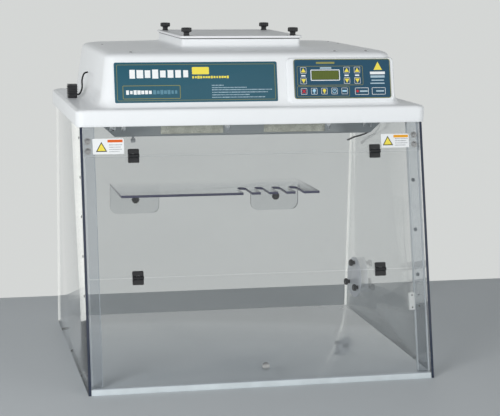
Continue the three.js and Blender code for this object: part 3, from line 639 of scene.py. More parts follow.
def head_rings():
    """Outlines of the white moulding from the neck's mouth, down the outside and up the inside."""
    low, high = span("head_shell")
    neck_low, neck_high = span("lid_gasket")
    front, back = low.y, high.y
    half = high.x
    eave, mouth = low.z, high.z
    roof = mouth - NECK_HEIGHT
    rim_top = eave + FLANGE_HEIGHT
    neck = neck_high.x
    lean = -OUTWARD.z / OUTWARD.y

    def face(z):
        return FOOT.y + FACE_STEP + (z - FOOT.z) * lean

    outside = [
        (mouth, neck, neck_low.y, neck_high.y, 8),
        (mouth - 1.5, neck, neck_low.y, neck_high.y, 8),
        (roof + 11, neck, neck_low.y, neck_high.y, 8),
        (roof + 7.5, neck + 2, neck_low.y - 2, neck_high.y + 2, 10),
        (roof + 5.6, neck + 6, neck_low.y - 6, neck_high.y + 6, 14),
        (roof + 4.6, neck + 14, neck_low.y - 12, neck_high.y + 8, 18),
        (roof + 1, 306, face(roof) + 24, back - 56, 26),
        (roof - 1, 320, face(roof) + 12, back - 45, 26),
        (roof - 4, 328.5, face(roof) + 4.6, back - 39, 26),
        (roof - 8, 332.3, face(roof - 8) + 1.2, back - 35.4, 26),
        (roof - 13, 334, face(roof - 13), back - 34, 26),
        (eave + 63, 345, face(eave + 63), back - 20.4, 26),
        (eave + 51, 348, face(eave + 51) - 0.8, back - 17.6, 28),
        (eave + 45, 351.5, face(eave + 45) - 3.2, back - 14, 30),
        (rim_top + 2, 358, face(rim_top) - 4.4, back - 9, 33),
        (rim_top, 366, face(rim_top) - 6.6, back - 6.4, 36),
        (rim_top - 0.6, 396, front + 6.4, back - 3.4, 21),
        (rim_top - 2.2, 401.5, front + 2.6, back - 1.4, 20),
        (rim_top - 5, half - 0.8, front + 0.7, back - 0.4, 20),
        (rim_top - 9, half, front, back, 20),
        (eave + 4, half, front, back, 20),
        (eave + 1.4, half - 0.6, front + 0.5, back - 0.6, 19),
        (eave, half - 2, front + 1.4, back - 2, 18),
    ]
    inside = [
        (eave, half - 3.5, front + 2.6, back - 3.5, 10),
        (eave + 28, half - 3.5, front + 3, back - 3.5, 10),
        (rim_top - 6, 352, front + 25, back - 17, 30),
        (eave + 57, 342.5, front + 30, back - 24, 22.5),
        (roof - 18, 331, face(roof - 18) + 5, back - 38, 22.5),
        (roof - 5, 300, face(roof) + 29, back - 62, 22.5),
        (roof + 2, neck - 5, neck_low.y + 5, neck_high.y - 5, 6),
        (mouth, neck - 5, neck_low.y + 5, neck_high.y - 5, 6),
    ]
    return outside + inside


def make_head_shell():
    bm = bmesh.new()
    loops = [
        loop_at(bm, rounded(-half, half, front, back, radius, 8), z, Matrix())
        for z, half, front, back, radius in head_rings()
    ]
    for i, loop in enumerate(loops):
        join_loops(bm, loops[(i + 1) % len(loops)], loop)
    bmesh.ops.recalc_face_normals(bm, faces=bm.faces)
    cutter = bmesh.new()
    low, high = span("power_inlet")
    mouth = rounded(low.x - 0.3, high.x + 0.3, low.z - 0.3, high.z + 0.3, 2)
    prism(cutter, mouth, -high.y - 30, -low.y, UPRIGHT)
    tool = plain_object("inlet cutter", cutter)
    made = piece("head_moulding", bm, "cabinet", [WHITE_SHELL], sharp=40)
    hole = made.modifiers.new("inlet hole", "BOOLEAN")
    hole.object = tool
    hole.solver = "EXACT"
    apply_modifiers(made)
    smooth(made.data, 40)
    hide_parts("head_shell")
    bpy.data.objects.remove(tool)


def plain_object(name, bm):
    """An object in metres that isn't a piece: a cutter or a master shape."""
    bmesh.ops.scale(bm, vec=(MM, MM, MM), verts=bm.verts)
    mesh = bpy.data.meshes.new(name)
    bm.to_mesh(mesh)
    bm.free()
    return link(name, mesh)


# How far the head's front face and the pad's face stand out of the doors' slope.
FACE_OUT = -3.0
BEZEL_OUT = 2.0


def make_bezel():
    """The raised pad that the keypad is stuck on."""
    low, high = on_slope(span("control_panel")[0]), on_slope(span("control_panel")[1])
    middle = on_slope(centre("control_panel"))
    half = (high.x - low.x) / 2
    bm = bmesh.new()
    x, y = middle.x, middle.y
    outline = rounded(x - half - 16, x + half + 10, y - 53.5, y + 49.5, 10, 8)
    inset = rounded(x - half - 12, x + half + 7, y - 50, y + 47.5, 8, 8)
    steps = [(outline, FACE_OUT - 7), (outline, BEZEL_OUT - 3.5), (inset, BEZEL_OUT)]
    loops = [loop_at(bm, points, height, SLOPE) for points, height in steps]
    for first, second in zip(loops, loops[1:]):
        join_loops(bm, first, second)
    bm.faces.new(reversed(loops[0]))
    bm.faces.new(loops[-1])
    piece("keypad_bezel", bm, "cabinet", [WHITE_SHELL], 2.2, sharp=50, bevel_steps=4)


def make_lid():
    softened("filter_lid", "filter_lid_sheet", WHITE_LID, 0.9, 3)
    softened("lid_gasket", "lid_gasket_strip", BLACK_RUBBER, 0.3)
    dress("prefilter", INTAKE_PAD)


# ---- knobs ----
def make_knob(node, radius, head, collar, stud):
    """A fluted thumb knob: its stud, its narrower collar and its dished head."""
    found = next(j for j in frame["joints"] if j["name"] == f"{node}_turn")
    axis = Vector(found["axis"])
    low, high = span(node)
    reach = abs((high - low).dot(axis)) / 2
    place = facing(centre(node) + axis * reach, axis)
    seat = -head - collar
    bm = bmesh.new()
    profile = [
        (0, seat - stud),
        (2.4, seat - stud),
        (2.8, seat - stud + 0.5),
        (2.8, seat),
        (radius * 0.58, seat),
        (radius * 0.6, seat + 0.6),
        (radius * 0.5, -head - collar * 0.5),
        (radius * 0.58, -head - 0.8),
        (radius * 0.8, -head, 0.4),
        (radius * 0.94, -head + 0.5, 0.9),
        (radius * 0.99, -head + 1.4, 1),
        (radius, -head * 0.5, 1),
        (radius * 0.985, -1.7, 1),
        (radius * 0.93, -0.7, 0.8),
        (radius * 0.84, -0.1, 0.3),
        (radius * 0.74, 0),
        (radius * 0.66, -0.5),
        (0, -0.9),
    ]
    turned(bm, profile, place, 80, flutes=10, flute_depth=radius * 0.13)
    piece(f"{node}_grip", bm, node, [BLACK_NYLON], replaces=[node], sharp=48)


# For each kind of knob: its names, its radius, and how long its head, collar and stud are.
KNOBS = (
    (
        [f"lid_knob_{end}_{side}" for end in ("front", "back") for side in ("left", "right")],
        12.5, 10, 8.4, 4,
    ),
    (["left_shelf_knob", "right_shelf_knob"], 10.5, 8.5, 5.9, 14.7),
    ([f"port_knob_{number}" for number in (1, 2, 3)], 9, 8, 5.4, 2.2),
)


def make_knobs():
    for names, *sizes in KNOBS:
        for name in names:
            make_knob(name, *sizes)


def make_pull_knob():
    """A small bright turned knob on the lower door."""
    middle = on_slope(centre("door_pull_knob"))
    place = SLOPE @ Matrix.Translation((middle.x, middle.y, 0))
    profile = [
        (0, -6.3), (2, -6.3), (2, -6), (2, 0.3), (5.2, 0.3), (5.6, 0.8), (5.2, 2.2), (4.6, 4),
        (5, 5.6), (6.6, 7.2), (8.2, 8.4), (8.9, 9.6), (8.95, 10.4), (8.6, 11.3), (7.6, 11.85), (0, 12),
    ]
    bm = bmesh.new()
    turned(bm, profile, place, 48)
    node = "door_pull_knob"
    piece("door_pull", bm, "lower_door", [BRIGHT_STEEL], replaces=[node])


# ---- hinges ----
def make_hinges():
    for row in ("upper", "middle"):
        for side in ("left", "right"):
            for leaf in ("top", "bottom"):
                name = f"{row}_{side}_hinge_{leaf}"
                softened(f"{name}_leaf", f"{name}_plate", BLACK_NYLON, 0.45)


# ---- small parts ----
def make_fittings():
    softened("interlock_switch", "interlock_switch_case", WHITE_PLASTIC, 0.8, 3)
    softened("port_cover", "port_cover_disc", PORT_PLASTIC, 0.6, 3)
    softened("power_inlet", "power_inlet_body", BLACK_NYLON, 0.5)
    softened("flange_plug", "flange_plug_body", BLACK_NYLON, 0.6)
    softened("filter_frame", "filter_frame_sheet", BRUSHED_SHEET, 0.5)
    for node, finish in (
        ("front_filter_pad", WINDOW_PAD), ("hepa_filter", FILTER_PAPER),
        ("blower_housing", DULL_SHEET), ("blower_wheel", DULL_SHEET),
        ("blower_motor", BLACK_NYLON), ("controller_board", CIRCUIT_GREEN),
        ("control_panel", TEAL_KEYPAD), ("display", DISPLAY_GLASS),
    ):
        dress(node, finish)


# ---- repeats, made by geometry nodes ----
def new_repeat(name, sizes, objects=()):
    """A node tree with a named input for each size, and its inputs as Terms."""
    tree = bpy.data.node_groups.new(name, "GeometryNodeTree")
    tree.interface.new_socket("Geometry", in_out="INPUT", socket_type="NodeSocketGeometry")
    for label, kind in sizes.items():
        tree.interface.new_socket(label, in_out="INPUT", socket_type=kind)
    for label in objects:
        tree.interface.new_socket(label, in_out="INPUT", socket_type="NodeSocketObject")
    tree.interface.new_socket("Finish", in_out="INPUT", socket_type="NodeSocketMaterial")
    tree.interface.new_socket("Geometry", in_out="OUTPUT", socket_type="NodeSocketGeometry")
    start = tree.nodes.new("NodeGroupInput")
    inputs = {socket.name: Term(tree, socket) for socket in start.outputs if socket.name}
    return tree, inputs


def finish_repeat(inputs, geometry):
    real = geometry.node("GeometryNodeRealizeInstances", None, {0: geometry})
    coloured = real.node(
        "GeometryNodeSetMaterial", None, {"Geometry": real, "Material": inputs["Finish"]}
    )
    coloured.node("NodeGroupOutput", None, {0: coloured})


def run_repeat(base, tree, values):
    """Runs a tree on an object, bakes the result and leaves no modifier."""
    modifier = base.modifiers.new(tree.name, "NODES")
    modifier.node_group = tree
    for item in tree.interface.items_tree:
        if item.item_type == "SOCKET" and item.in_out == "INPUT" and item.name in values:
            modifier[item.identifier] = values[item.name]
    apply_modifiers(base)


def at_random(sheet, low, high, seed):
    return sheet.node(
        "FunctionNodeRandomValue", {"data_type": "FLOAT"}, {2: low, 3: high, "Seed": seed}, output=1
    )


def screw_tree():
    """A screw head on each point, standing along its facing and turned at random."""
    tree, inputs = new_repeat("screws", {"Seed": "NodeSocketInt"}, ["Head"])
    master = inputs["Head"]
    head = master.node("GeometryNodeObjectInfo", None, {"Object": master}, output="Geometry")
    facing_way = head.node(
        "GeometryNodeInputNamedAttribute", {"data_type": "FLOAT_VECTOR"}, {"Name": "facing"}
    )
    stand = head.node(
        "FunctionNodeAlignRotationToVector", {"axis": "Z"}, {"Vector": facing_way}
    )
    angle = at_random(head, 0.0, 2 * math.pi, inputs["Seed"])
    spin = head.node(
        "FunctionNodeAxisAngleToRotation", None, {"Axis": (0, 0, 1), "Angle": angle}
    )
    turn = head.node(
        "FunctionNodeRotateRotation", {"rotation_space": "LOCAL"}, {"Rotation": stand, "Rotate By": spin}
    )
    placed = head.node(
        "GeometryNodeInstanceOnPoints", None,
        {"Points": inputs["Geometry"], "Instance": head, "Rotation": turn},
    )
    finish_repeat(inputs, placed)
    return tree


def type_tree():
    """A row of small blocks of uneven width and height, as a line of small print looks from afar."""
    tree, inputs = new_repeat(
        "print row",
        {
            "Count": "NodeSocketInt", "Pitch": "NodeSocketFloat", "Height": "NodeSocketFloat",
            "Thickness": "NodeSocketFloat", "Seed": "NodeSocketInt",
        },
    )
    step = inputs["Pitch"].node("ShaderNodeCombineXYZ", None, {0: inputs["Pitch"]})
    row = step.node(
        "GeometryNodeMeshLine", None, {"Count": inputs["Count"], "Offset": step}
    )
    width = at_random(row, 0.55, 0.86, inputs["Seed"])
    tall = at_random(row, 0.68, 1.0, inputs["Seed"] + 1)
    size = row.node(
        "ShaderNodeCombineXYZ", None,
        {0: width * inputs["Pitch"], 1: tall * inputs["Height"], 2: inputs["Thickness"]},
    )
    block = row.node("GeometryNodeMeshCube")
    placed = row.node(
        "GeometryNodeInstanceOnPoints", None, {"Points": row, "Instance": block, "Scale": size}
    )
    finish_repeat(inputs, placed)
    return tree


SCREWS = screw_tree()
PRINT_ROW = type_tree()


def screws(name, finish, head, rows, seed):
    """One piece holding a screw head at each place, which is a point and a direction."""
    mesh = bpy.data.meshes.new(name)
    mesh.from_pydata([Vector(place) * MM for place, _ in rows], [], [])
    ways = mesh.attributes.new("facing", "FLOAT_VECTOR", "POINT")
    for value, (_, direction) in zip(ways.data, rows):
        value.vector = direction
    made = link(name, mesh)
    run_repeat(made, SCREWS, {"Head": head, "Finish": finish, "Seed": seed})
    smooth(made.data, 30)
    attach(made, "cabinet")


INK = 0.12  # how thick printed ink stands
SUNK = 0.05  # how far ink reaches into what it is printed on


def print_rows(name, finish, rows, height, out, pitch, seed):
    """Lines of small print on the slope. rows are (x from, x to, way up the slope)."""
    meshes = bmesh.new()
    for i, (x0, x1, up) in enumerate(rows):
        made = link(name, bpy.data.meshes.new(name))
        count = max(1, round((x1 - x0) / pitch))
        run_repeat(
            made, PRINT_ROW,
            {
                "Count": count, "Pitch": (x1 - x0) / count, "Height": height,
                "Thickness": 2 * INK, "Finish": finish, "Seed": seed + 2 * i,
            },
        )
        made.data.transform(SLOPE @ Matrix.Translation((x0 + (x1 - x0) / count / 2, up, out)))
        meshes.from_mesh(made.data)
        bpy.data.objects.remove(made)
    return piece(name, meshes, "cabinet", [finish])


# ---- printed labels ----
LABEL_OUT = -2.2  # how far out of the slope the head label's face is


def frame_line(bm, x0, x1, y0, y1, radius, width, low, high):
    """A printed rectangular line, given by its outer edge."""
    inner = rounded(x0 + width, x1 - width, y0 + width, y1 - width, max(0.2, radius - width))
    ring(bm, rounded(x0, x1, y0, y1, radius), inner, low, high)


def block(bm, x0, x1, y0, y1, low, high, radius=0.4):
    prism(bm, rounded(x0, x1, y0, y1, radius, 3), low, high)


def printed_piece(name, finish, draw, out):
    """A piece of one ink on the head. draw(bm, low, high) adds its shapes."""
    bm = bmesh.new()
    draw(bm, out - SUNK, out + INK)
    return piece(name, bm, "cabinet", [finish])


def make_head_label():
    out = LABEL_OUT
    bm = bmesh.new()
    prism(bm, rounded(-316, 58, 642, 733.5, 4), -5.2, out)
    piece("head_label", bm, "cabinet", [TEAL_LABEL], 0.25)

    def gold(bm, low, high):
        frame_line(bm, -310.5, 53, 647, 728.5, 3, 0.9, low, high)
        frame_line(bm, -298, -167, 651, 681.5, 2.5, 1.3, low, high)

    def yellow(bm, low, high):
        block(bm, -139, -100, 705.5, 722, low, high, 1.5)

    printed_piece("head_label_gold_lines", GOLD_INK, gold, out)
    printed_piece("head_label_yellow_block", YELLOW_INK, yellow, out)
    for name, rows, height, pitch, finish, seed in (
        ("head_label_large_print", [(-284, -145, 707)], 22, 17.4, WHITE_INK, 5),
        ("head_label_small_yellow_print", [(-140, -54, 699)], 6, 6.2, YELLOW_INK, 8),
        ("head_label_box_print", [(-291.5, -231.5, 666)], 10.5, 8.4, WHITE_INK, 11),
        ("head_label_pale_box_print", [(-230, -173, 666)], 10.5, 8.2, DIM_INK, 3),
        (
            "head_label_small_print",
            [(-95, -67, 680.3), (-95, -14, 675), (-95, 45, 670), (-95, 35, 664.3), (-95, -8, 658.6),
             (-95, 28, 653)],
            2.1, 3.1, PALE_INK, 21,
        ),
    ):
        print_rows(name, finish, rows, height, out, pitch, seed)


def slope_box(node):
    """A node's lowest and highest corner as x, up the slope and out of it."""
    corners = [on_slope(v.co / MM) for v in frame["nodes"][node].data.vertices]
    low = Vector(min(c[i] for c in corners) for i in range(3))
    high = Vector(max(c[i] for c in corners) for i in range(3))
    return low, high


def make_keypad():
    low, high = slope_box("control_panel")
    out = high.z

    def gold(bm, bottom, top):
        frame_line(bm, low.x + 0.3, high.x - 0.3, low.y + 0.3, high.y - 0.3, 5, 1.3, bottom, top)
        frame_line(bm, 103.5, 260, 676.5, 721, 3, 0.9, bottom, top)
        frame_line(bm, 102, 226.5, 650.5, 674.5, 3, 0.9, bottom, top)
        block(bm, 149, 193, 726, 730.5, bottom, top)

    def white(bm, bottom, top):
        frame_line(bm, 135.3, 204.7, 687.3, 712.7, 2.4, 1.7, bottom, top)
        frame_line(bm, 239.5, 272, 654, 670.3, 2, 0.9, bottom, top)
        frame_line(bm, 280, 312.5, 654, 670.3, 2, 0.9, bottom, top)
        for x in (118, 221, 246):
            block(bm, x - 5, x + 5, 697.4, 700.6, bottom, top)
        block(bm, 277, 313, 700.9, 707, bottom, top, 0.6)

    def pale(bm, bottom, top):
        block(bm, 278, 312, 693, 698.2, bottom, top, 0.6)
        for bar in (
            (280, 310, 685.8, 688.4), (277, 311, 678.8, 681.4), (158, 185, 714.6, 718.2),
            (251, 269.5, 660.4, 664), (290, 309, 660.4, 664),
        ):
            block(bm, *bar, bottom, top)

    def yellow(bm, bottom, top):
        prism(bm, [(286, 711), (306.5, 711), (296.2, 730)], bottom, top)

    def red(bm, bottom, top):
        prism(bm, circle(245.3, 662.4, 3.1, 20), bottom, top)

    printed_piece("keypad_gold_lines", GOLD_INK, gold, out)
    printed_piece("keypad_white_lines", WHITE_INK, white, out)
    printed_piece("keypad_pale_bars", PALE_INK, pale, out)
    printed_piece("keypad_triangle", YELLOW_INK, yellow, out)
    printed_piece("keypad_alarm_lamp", RED_INK, red, out)
    make_keys()


def key_mark(bm, kind, x, y, low, high):
    """The symbol on a key."""
    if kind == "up":
        prism(bm, [(x - 5.6, y - 4.4), (x + 5.6, y - 4.4), (x, y + 5.2)], low, high)
    elif kind == "down":
        prism(bm, [(x - 5.6, y + 4.4), (x, y - 5.2), (x + 5.6, y + 4.4)], low, high)
    elif kind == "cross":
        for tilt in (45, -45):
            bar = Matrix.Translation((x, y, 0)) @ Matrix.Rotation(math.radians(tilt), 4, "Z")
            lift = 0.01 if tilt > 0 else 0
            prism(bm, rounded(-6, 6, -1.2, 1.2, 0.3, 2), low, high + lift, SLOPE @ bar)
    elif kind == "bulb":
        prism(bm, circle(x, y + 1.6, 3.7, 24), low, high)
        prism(bm, rounded(x - 1.7, x + 1.7, y - 5.3, y - 2.6, 0.4, 2), low, high)
    elif kind == "ring":
        ring(bm, circle(x, y, 4.9, 28), circle(x, y, 3.7, 28), low, high)
        prism(bm, rounded(x - 0.6, x + 0.6, y, y + 3, 0.3, 2), low, high)
    elif kind == "bar":
        prism(bm, rounded(x - 5.6, x + 5.6, y - 2, y + 2, 1.9, 4), low, high)


KEY_LOOKS = {
    "lamp_timer_up_key": ("up", YELLOW_INK),
    "lamp_timer_down_key": ("down", YELLOW_INK),
    "menu_up_key": ("up", YELLOW_INK),
    "menu_down_key": ("down", YELLOW_INK),
    "fan_speed_up_key": ("up", YELLOW_INK),
    "fan_speed_down_key": ("down", YELLOW_INK),
    "power_key": ("cross", RED_INK),
    "uv_lamp_key": ("bulb", SKY_INK),
    "white_lamp_key": ("bulb", YELLOW_INK),
    "fan_key": ("ring", SKY_INK),
    "reset_key": ("bar", SKY_INK),
}


def make_keys():
    """Each key: a softened cap, its printed outline and its symbol, all riding on the key."""
    for key, (mark, ink) in KEY_LOOKS.items():
        low, high = slope_box(key)
        x, y = (low.x + high.x) / 2, (low.y + high.y) / 2
        softened(key, f"{key}_cap", TEAL_KEYPAD, 0.15)
        bottom, top = high.z - SUNK, high.z + INK
        bm = bmesh.new()
        frame_line(
            bm, low.x + 0.3, high.x - 0.3, low.y + 0.3, high.y - 0.3, 1.6, 0.7, bottom, top
        )
        piece(f"{key}_outline", bm, key, [WHITE_INK])
        bm = bmesh.new()
        key_mark(bm, mark, x, y, bottom, top)
        piece(f"{key}_symbol", bm, key, [ink])


def make_door_labels():
    """Two plain notices on the fixed front panel: a colour band, a triangle and lines of print."""
    for side, x0, x1, y0, y1, band, triangle, band_ink, seed in (
        ("left", -370, -300, 529, 563.7, (-336.6, -302.8), (-363, -338), ORANGE_INK, 31),
        ("right", 297.4, 364.4, 531.2, 563, (327.7, 363), (301, 326), AMBER_INK, 41),
    ):
        bm = bmesh.new()
        prism(bm, rounded(x0, x1, y0, y1, 2), -0.1, 0.25)
        piece(f"{side}_notice", bm, "cabinet", [LABEL_WHITE])
        bm = bmesh.new()
        block(bm, *band, y1 - 8.6, y1 - 2.6, 0.2, 0.25 + INK)
        piece(f"{side}_notice_band", bm, "cabinet", [band_ink])
        left, right = triangle
        middle = (left + right) / 2
        for part, ink, inset, lift in (("rim", BLACK_INK, 0, 0), ("field", YELLOW_INK, 1.9, 0.08)):
            bm = bmesh.new()
            tall = (right - left) * 0.88
            base = y0 + 5.5
            corners = [
                (left + inset * 1.7, base + inset), (right - inset * 1.7, base + inset),
                (middle, base + tall - inset * 1.9),
            ]
            prism(bm, corners, 0.2, 0.25 + INK + lift)
            piece(f"{side}_notice_triangle_{part}", bm, "cabinet", [ink])
        rows = [(band[0] + 3, band[1] - drop, y0 + 5.5 + 5 * i) for i, drop in enumerate((7, 2, 4, 1))]
        print_rows(f"{side}_notice_print", GREY_INK, rows, 2.0, 0.25, 2.9, seed)


# ---- fittings on the hung frame and the head ----
def make_frame_fittings():
    """Bright end clips and folded brackets along the hung frame's front."""
    front = span("filter_frame")[0].y
    bm = bmesh.new()
    for x0, x1 in ((-318, -304), (-291, -281), (287, 293), (304, 309)):
        prism(bm, rounded(x0, x1, 552, 570, 2.5, 4), -front, -front + 3, UPRIGHT)
    piece("frame_end_clips", bm, "cabinet", [POLISHED_END], 1.2, bevel_steps=3)
    bm = bmesh.new()
    for x0, x1 in ((-50, -34), (195, 210)):
        prism(bm, [(x0, 571), (x0 + 4, 546), (x1 - 4, 546), (x1, 571)], -front, -front + 2, UPRIGHT)
        prism(bm, rounded(x0 + 5, x1 - 5, 552, 566, 2, 4), -front + 2, -front + 4, UPRIGHT)
    piece("frame_window_brackets", bm, "cabinet", [POLISHED_END], 0.8)


def make_plug_details():
    """Grip ribs on the flange plug, and the blades in the power inlet."""
    low, high = span("flange_plug")
    bm = bmesh.new()
    for i in range(4):
        z = low.z + 9 + 5.5 * i
        rib = rounded(low.x - 0.7, high.x + 0.7, z, z + 2.4, 0.5, 2)
        prism(bm, rib, -high.y - 0.7, -low.y + 0.7, UPRIGHT)
    piece("flange_plug_ribs", bm, "cabinet", [BLACK_RUBBER], 0.4)
    low, high = span("power_inlet")
    bm = bmesh.new()
    for dx, dz in ((-7, -2), (7, -2), (0, 4)):
        x, z = (low.x + high.x) / 2 + dx, (low.z + high.z) / 2 + dz
        blade = rounded(x - 1, x + 1, z - 3, z + 3, 0.5, 2)
        prism(bm, blade, -high.y + 1, -high.y + 16, UPRIGHT)
    piece("power_inlet_blades", bm, "cabinet", [BRIGHT_STEEL])


def make_hook():
    """The small grey catch above the top left hinge."""
    bm = bmesh.new()
    prism(bm, rounded(-284.5, -274, 554, 563, 2, 4), 0, 2.2)
    prism(bm, rounded(-282, -276.5, 562, 567, 1.5, 4), 0, 3.4)
    piece("door_catch", bm, "cabinet", [MAGNET_GREY], 0.5)


# ---- screws ----
def screw_head(name, radius, height):
    """A domed head with a socket in it, standing on the origin, with a short shank below."""
    bm = bmesh.new()
    profile = [
        (0, -0.4), (radius * 0.96, -0.4), (radius, 0), (radius, height * 0.4),
        (radius * 0.93, height * 0.72), (radius * 0.72, height * 0.94),
        (radius * 0.46, height), (radius * 0.4, height),
        (radius * 0.36, height * 0.35), (0, height * 0.3),
    ]
    turned(bm, profile, Matrix(), 24)
    return plain_object(name, bm)


def washer_screw_head(name):
    """A pan head on a washer."""
    bm = bmesh.new()
    profile = [
        (0, -0.1), (7.4, -0.1), (7.6, 0.2), (7.4, 1), (5, 1.15), (5, 1.9),
        (4.8, 3), (4.1, 3.9), (2.4, 4.3), (1.9, 4.3), (1.7, 2.6), (0, 2.5),
    ]
    turned(bm, profile, Matrix(), 28)
    return plain_object(name, bm)


STRIP_SCREWS = [43 + 87.5 * i for i in range(7)]
BASE_SCREW_UP = 6
HEAD_TOP = 733
ROOF_SCREWS = [(200, 195), (275, 195), (300, 480), (300, 560), (-275, 195), (-300, 480)]


def make_screws():
    small = screw_head("small screw", 3.2, 1.7)
    tiny = screw_head("tiny screw", 1.7, 0.9)
    washered = washer_screw_head("washer screw")

    side_rows = []
    for side, way in (("left", -1), ("right", 1)):
        face = span(f"{side}_side_panel")[0 if way < 0 else 1].x
        strip_low, strip_high = slope_box(f"{side}_front_strip")
        depth = (strip_low.z + strip_high.z) / 2
        side_rows += [(SLOPE @ Vector((face, up, depth)), (way, 0, 0)) for up in STRIP_SCREWS]
        side_rows += [(Vector((face, y, BASE_SCREW_UP)), (way, 0, 0)) for y in (-200, 0, 200)]
    screws("side_screws", BRIGHT_STEEL, small, side_rows, 3)

    fixed = [
        (SLOPE @ Vector((x, up, 0)), OUTWARD)
        for x, up in ((-381, 558), (-381, 536), (377, 560), (377, 538))
    ]
    screws("front_panel_screws", BRIGHT_STEEL, washered, fixed, 9)

    top = [(Vector((x, FOOT.y + y, HEAD_TOP)), (0, 0, 1)) for x, y in ROOF_SCREWS]
    screws("roof_screws", BRIGHT_STEEL, small, top, 14)

    low, high = slope_box("interlock_switch")
    strip_low = slope_box("right_front_strip")[0]
    middle = (low.x + high.x) / 2
    rows = [(SLOPE @ Vector((middle, up, high.z)), OUTWARD) for up in (low.y + 6, high.y - 6)]
    rows += [(SLOPE @ Vector((378, up, strip_low.z)), -OUTWARD) for up in (191, 165)]
    screws("switch_screws", BLACK_NYLON, tiny, rows, 23)
    for leftover in (small, tiny, washered):
        bpy.data.objects.remove(leftover)


def make_catch_discs():
    """Steel discs let into the right strip, where the doors' magnets meet it."""
    low, high = slope_box("right_front_strip")
    for number, up in enumerate((457, 342, 238), 1):
        bm = bmesh.new()
        prism(bm, circle((low.x + high.x) / 2, up, 4.4, 28), low.z - 0.4, low.z + 0.3)
        piece(f"catch_disc_{number}", bm, "cabinet", [MAGNET_GREY], 0.2)


# ---- lamps ----
def make_lamps():
    """Each lamp: a frosted tube with a metal cap and two pins at each end."""
    for node, glass in (("uv_lamp", UV_GLASS), ("white_lamp", WHITE_GLASS)):
        low, high = span(node)
        middle = (low + high) / 2
        radius = (high.z - low.z) / 2
        place = facing((low.x, middle.y, middle.z), (1, 0, 0))
        length = high.x - low.x
        bm = bmesh.new()
        glass_radius = radius - 0.6
        tube = [(0, 14), (glass_radius, 14), (glass_radius, length - 14), (0, length - 14)]
        turned(bm, tube, place, 40)
        piece(f"{node}_tube", bm, "cabinet", [glass], replaces=[node])
        for end, start, way in (("left", 0, 1), ("right", length, -1)):
            bm = bmesh.new()
            inwards = Matrix.Diagonal((1, 1, way, 1))
            cap = [
                (0, 3), (radius - 1.5, 3), (radius - 0.3, 4.2),
                (radius - 0.3, 15), (radius - 0.9, 16), (0, 16),
            ]
            turned(bm, cap, place @ Matrix.Translation((0, 0, start)) @ inwards, 40)
            for offset in (-4.5, 4.5):
                pin = [(0, 0), (1.3, 0), (1.3, 4), (0, 4)]
                turned(bm, pin, place @ Matrix.Translation((offset, 0, start)) @ inwards, 16)
            bmesh.ops.recalc_face_normals(bm, faces=bm.faces)
            piece(f"{node}_{end}_cap", bm, "cabinet", [BRIGHT_STEEL])


# ---- leads ----
def spline(points, steps=14):
    """A Catmull-Rom line through the points, centripetal, as points close together."""
    points = [Vector(p) for p in points]
    ends = [points[0] * 2 - points[1], *points, points[-1] * 2 - points[-2]]
    line = []
    for a, b, c, d in zip(ends, ends[1:], ends[2:], ends[3:]):
        knots = [0.0]
        for first, second in ((a, b), (b, c), (c, d)):
            knots.append(knots[-1] + math.sqrt((second - first).length))
        t0, t1, t2, t3 = knots
        for i in range(steps):
            t = t1 + (t2 - t1) * i / steps
            p = (t1 - t) / (t1 - t0) * a + (t - t0) / (t1 - t0) * b
            q = (t2 - t) / (t2 - t1) * b + (t - t1) / (t2 - t1) * c
            r = (t3 - t) / (t3 - t2) * c + (t - t2) / (t3 - t2) * d
            first = (t2 - t) / (t2 - t0) * p + (t - t0) / (t2 - t0) * q
            second = (t3 - t) / (t3 - t1) * q + (t - t1) / (t3 - t1) * r
            line.append((t2 - t) / (t2 - t1) * first + (t - t1) / (t2 - t1) * second)
    return line + [points[-1]]


def make_lead(node, name, points, radius, finish):
    """A lead as a round tube that follows the points."""
    line = spline(points)
    bm = bmesh.new()
    loops = []
    side = None
    for i, place in enumerate(line):
        ahead = (line[min(i + 1, len(line) - 1)] - line[max(i - 1, 0)]).normalized()
        side = side or ahead.orthogonal()
        side = (side - ahead * side.dot(ahead)).normalized()
        other = ahead.cross(side)
        loops.append([
            bm.verts.new(place + radius * (side * math.cos(a) + other * math.sin(a)))
            for a in (2 * math.pi * k / 20 for k in range(20))
        ])
    for first, second in zip(loops, loops[1:]):
        join_loops(bm, first, second)
    bm.faces.new(reversed(loops[0]))
    bm.faces.new(loops[-1])
    bmesh.ops.recalc_face_normals(bm, faces=bm.faces)
    made = piece(name, bm, "cabinet", [finish], replaces=[node], sharp=60)
    length = sum((b - a).length for a, b in zip(line, line[1:])) * MM
    line[0] * MM
    [p * MM for p in line]


PLUG_LEAD_RADIUS = 2
INTERLOCK_LEAD_RADIUS = 2.2


def make_leads():
    low, high = span("flange_plug")
    x, y, z = high.x, centre("flange_plug").y, low.z
    make_lead(
        "plug_lead", "plug_lead_tube",
        [(x + 0.6, y, z + 7.7), (x + 6, y, z + 8.3), (x + 13, y + 3, z + 21.7),
         (x + 14, y + 8, z + 41.7), (x + 20, y + 12, z + 56.7), (x + 28.5, y + 13, z + 59.7)],
        PLUG_LEAD_RADIUS, BLACK_RUBBER,
    )
    x = span("interlock_lead")[1].x - INTERLOCK_LEAD_RADIUS
    route = (
        (0, 414, 569), (0, 420, 547), (0.5, 438, 525), (1, 472, 508),
        (1.5, 522, 494), (2, 576, 482), (2, 612, 472), (2, 627.75, 468),
    )
    make_lead(
        "interlock_lead", "interlock_lead_tube",
        [(x - inwards, FOOT.y + along, up) for inwards, along, up in route],
        INTERLOCK_LEAD_RADIUS, BLACK_RUBBER,
    )


for make in (
    make_cabinet, make_head_shell, make_bezel, make_lid, make_knobs, make_pull_knob, make_hinges,
    make_fittings, make_frame_fittings, make_plug_details, make_hook, make_head_label, make_keypad,
    make_door_labels, make_screws, make_catch_discs, make_lamps, make_leads,
):
    make()


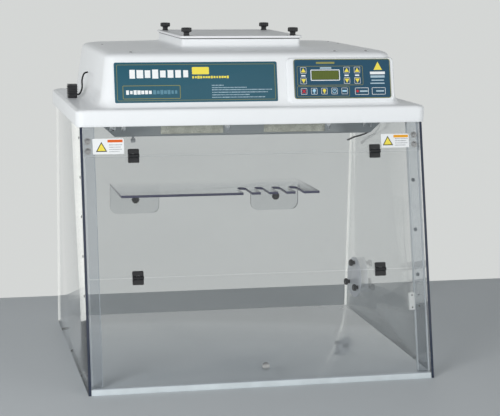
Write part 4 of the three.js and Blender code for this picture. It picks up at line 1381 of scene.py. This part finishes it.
# ---- studio ----
FLOOR_REACH = 2600
FLOOR_BACK = 570
FLOOR_THICKNESS = 40
LIGHT_AIM = Vector((0, 0, 450))


def make_studio():
    bm = bmesh.new()
    slab = rounded(-FLOOR_REACH, FLOOR_REACH, -FLOOR_REACH, FLOOR_BACK, 5)
    prism(bm, slab, -FLOOR_THICKNESS, 0, Matrix())
    floor = plain_object("studio_floor", bm)
    material, sheet = new_finish("pale studio floor")
    slow = noise(sheet, 1.5, 3)
    colour = between(sheet, slow, (0.6, 0.635, 0.66), (0.63, 0.665, 0.69))
    cover(sheet, surface(sheet, {"Base Color": colour, "Roughness": 0.55}))
    floor.data.materials.append(material)

    world = bpy.data.worlds.new("studio air")
    bpy.context.scene.world = world
    world.use_nodes = True
    world.node_tree.nodes.clear()
    air = Term(world.node_tree)
    direction = air.node("ShaderNodeTexCoord", output="Generated")
    height = air.node("ShaderNodeSeparateXYZ", None, {0: direction}, output=2)
    shade = air.node(
        "ShaderNodeValToRGB",
        {"stops": [(0.0, (0.66, 0.675, 0.665)), (0.3, (0.64, 0.66, 0.66)), (0.75, (0.12, 0.125, 0.13))]},
        {"Fac": height},
    )
    back = air.node("ShaderNodeBackground", None, {"Color": shade, "Strength": 1.0})
    air.node("ShaderNodeOutputWorld", None, {"Surface": back})

    for name, place, size, power in (
        ("key_light", (-2400, -2600, 1300), (1600, 1200), 72),
        ("fill_light", (1800, -2600, 900), (1600, 1200), 18),
    ):
        data = bpy.data.lights.new(name, "AREA")
        data.shape = "RECTANGLE"
        data.size, data.size_y = (s * MM for s in size)
        data.energy = power
        lamp = bpy.data.objects.new(name, data)
        lamp.visible_glossy = False
        turn = (LIGHT_AIM - Vector(place)).to_track_quat("-Z", "Y").to_matrix().to_4x4()
        lamp.matrix_world = Matrix.Translation(Vector(place) * MM) @ turn
        bpy.context.scene.collection.objects.link(lamp)

    scene = bpy.context.scene
    scene.view_settings.view_transform = "Standard"
    scene.cycles.transparent_max_bounces = 32
    scene.cycles.max_bounces = 14


make_studio()
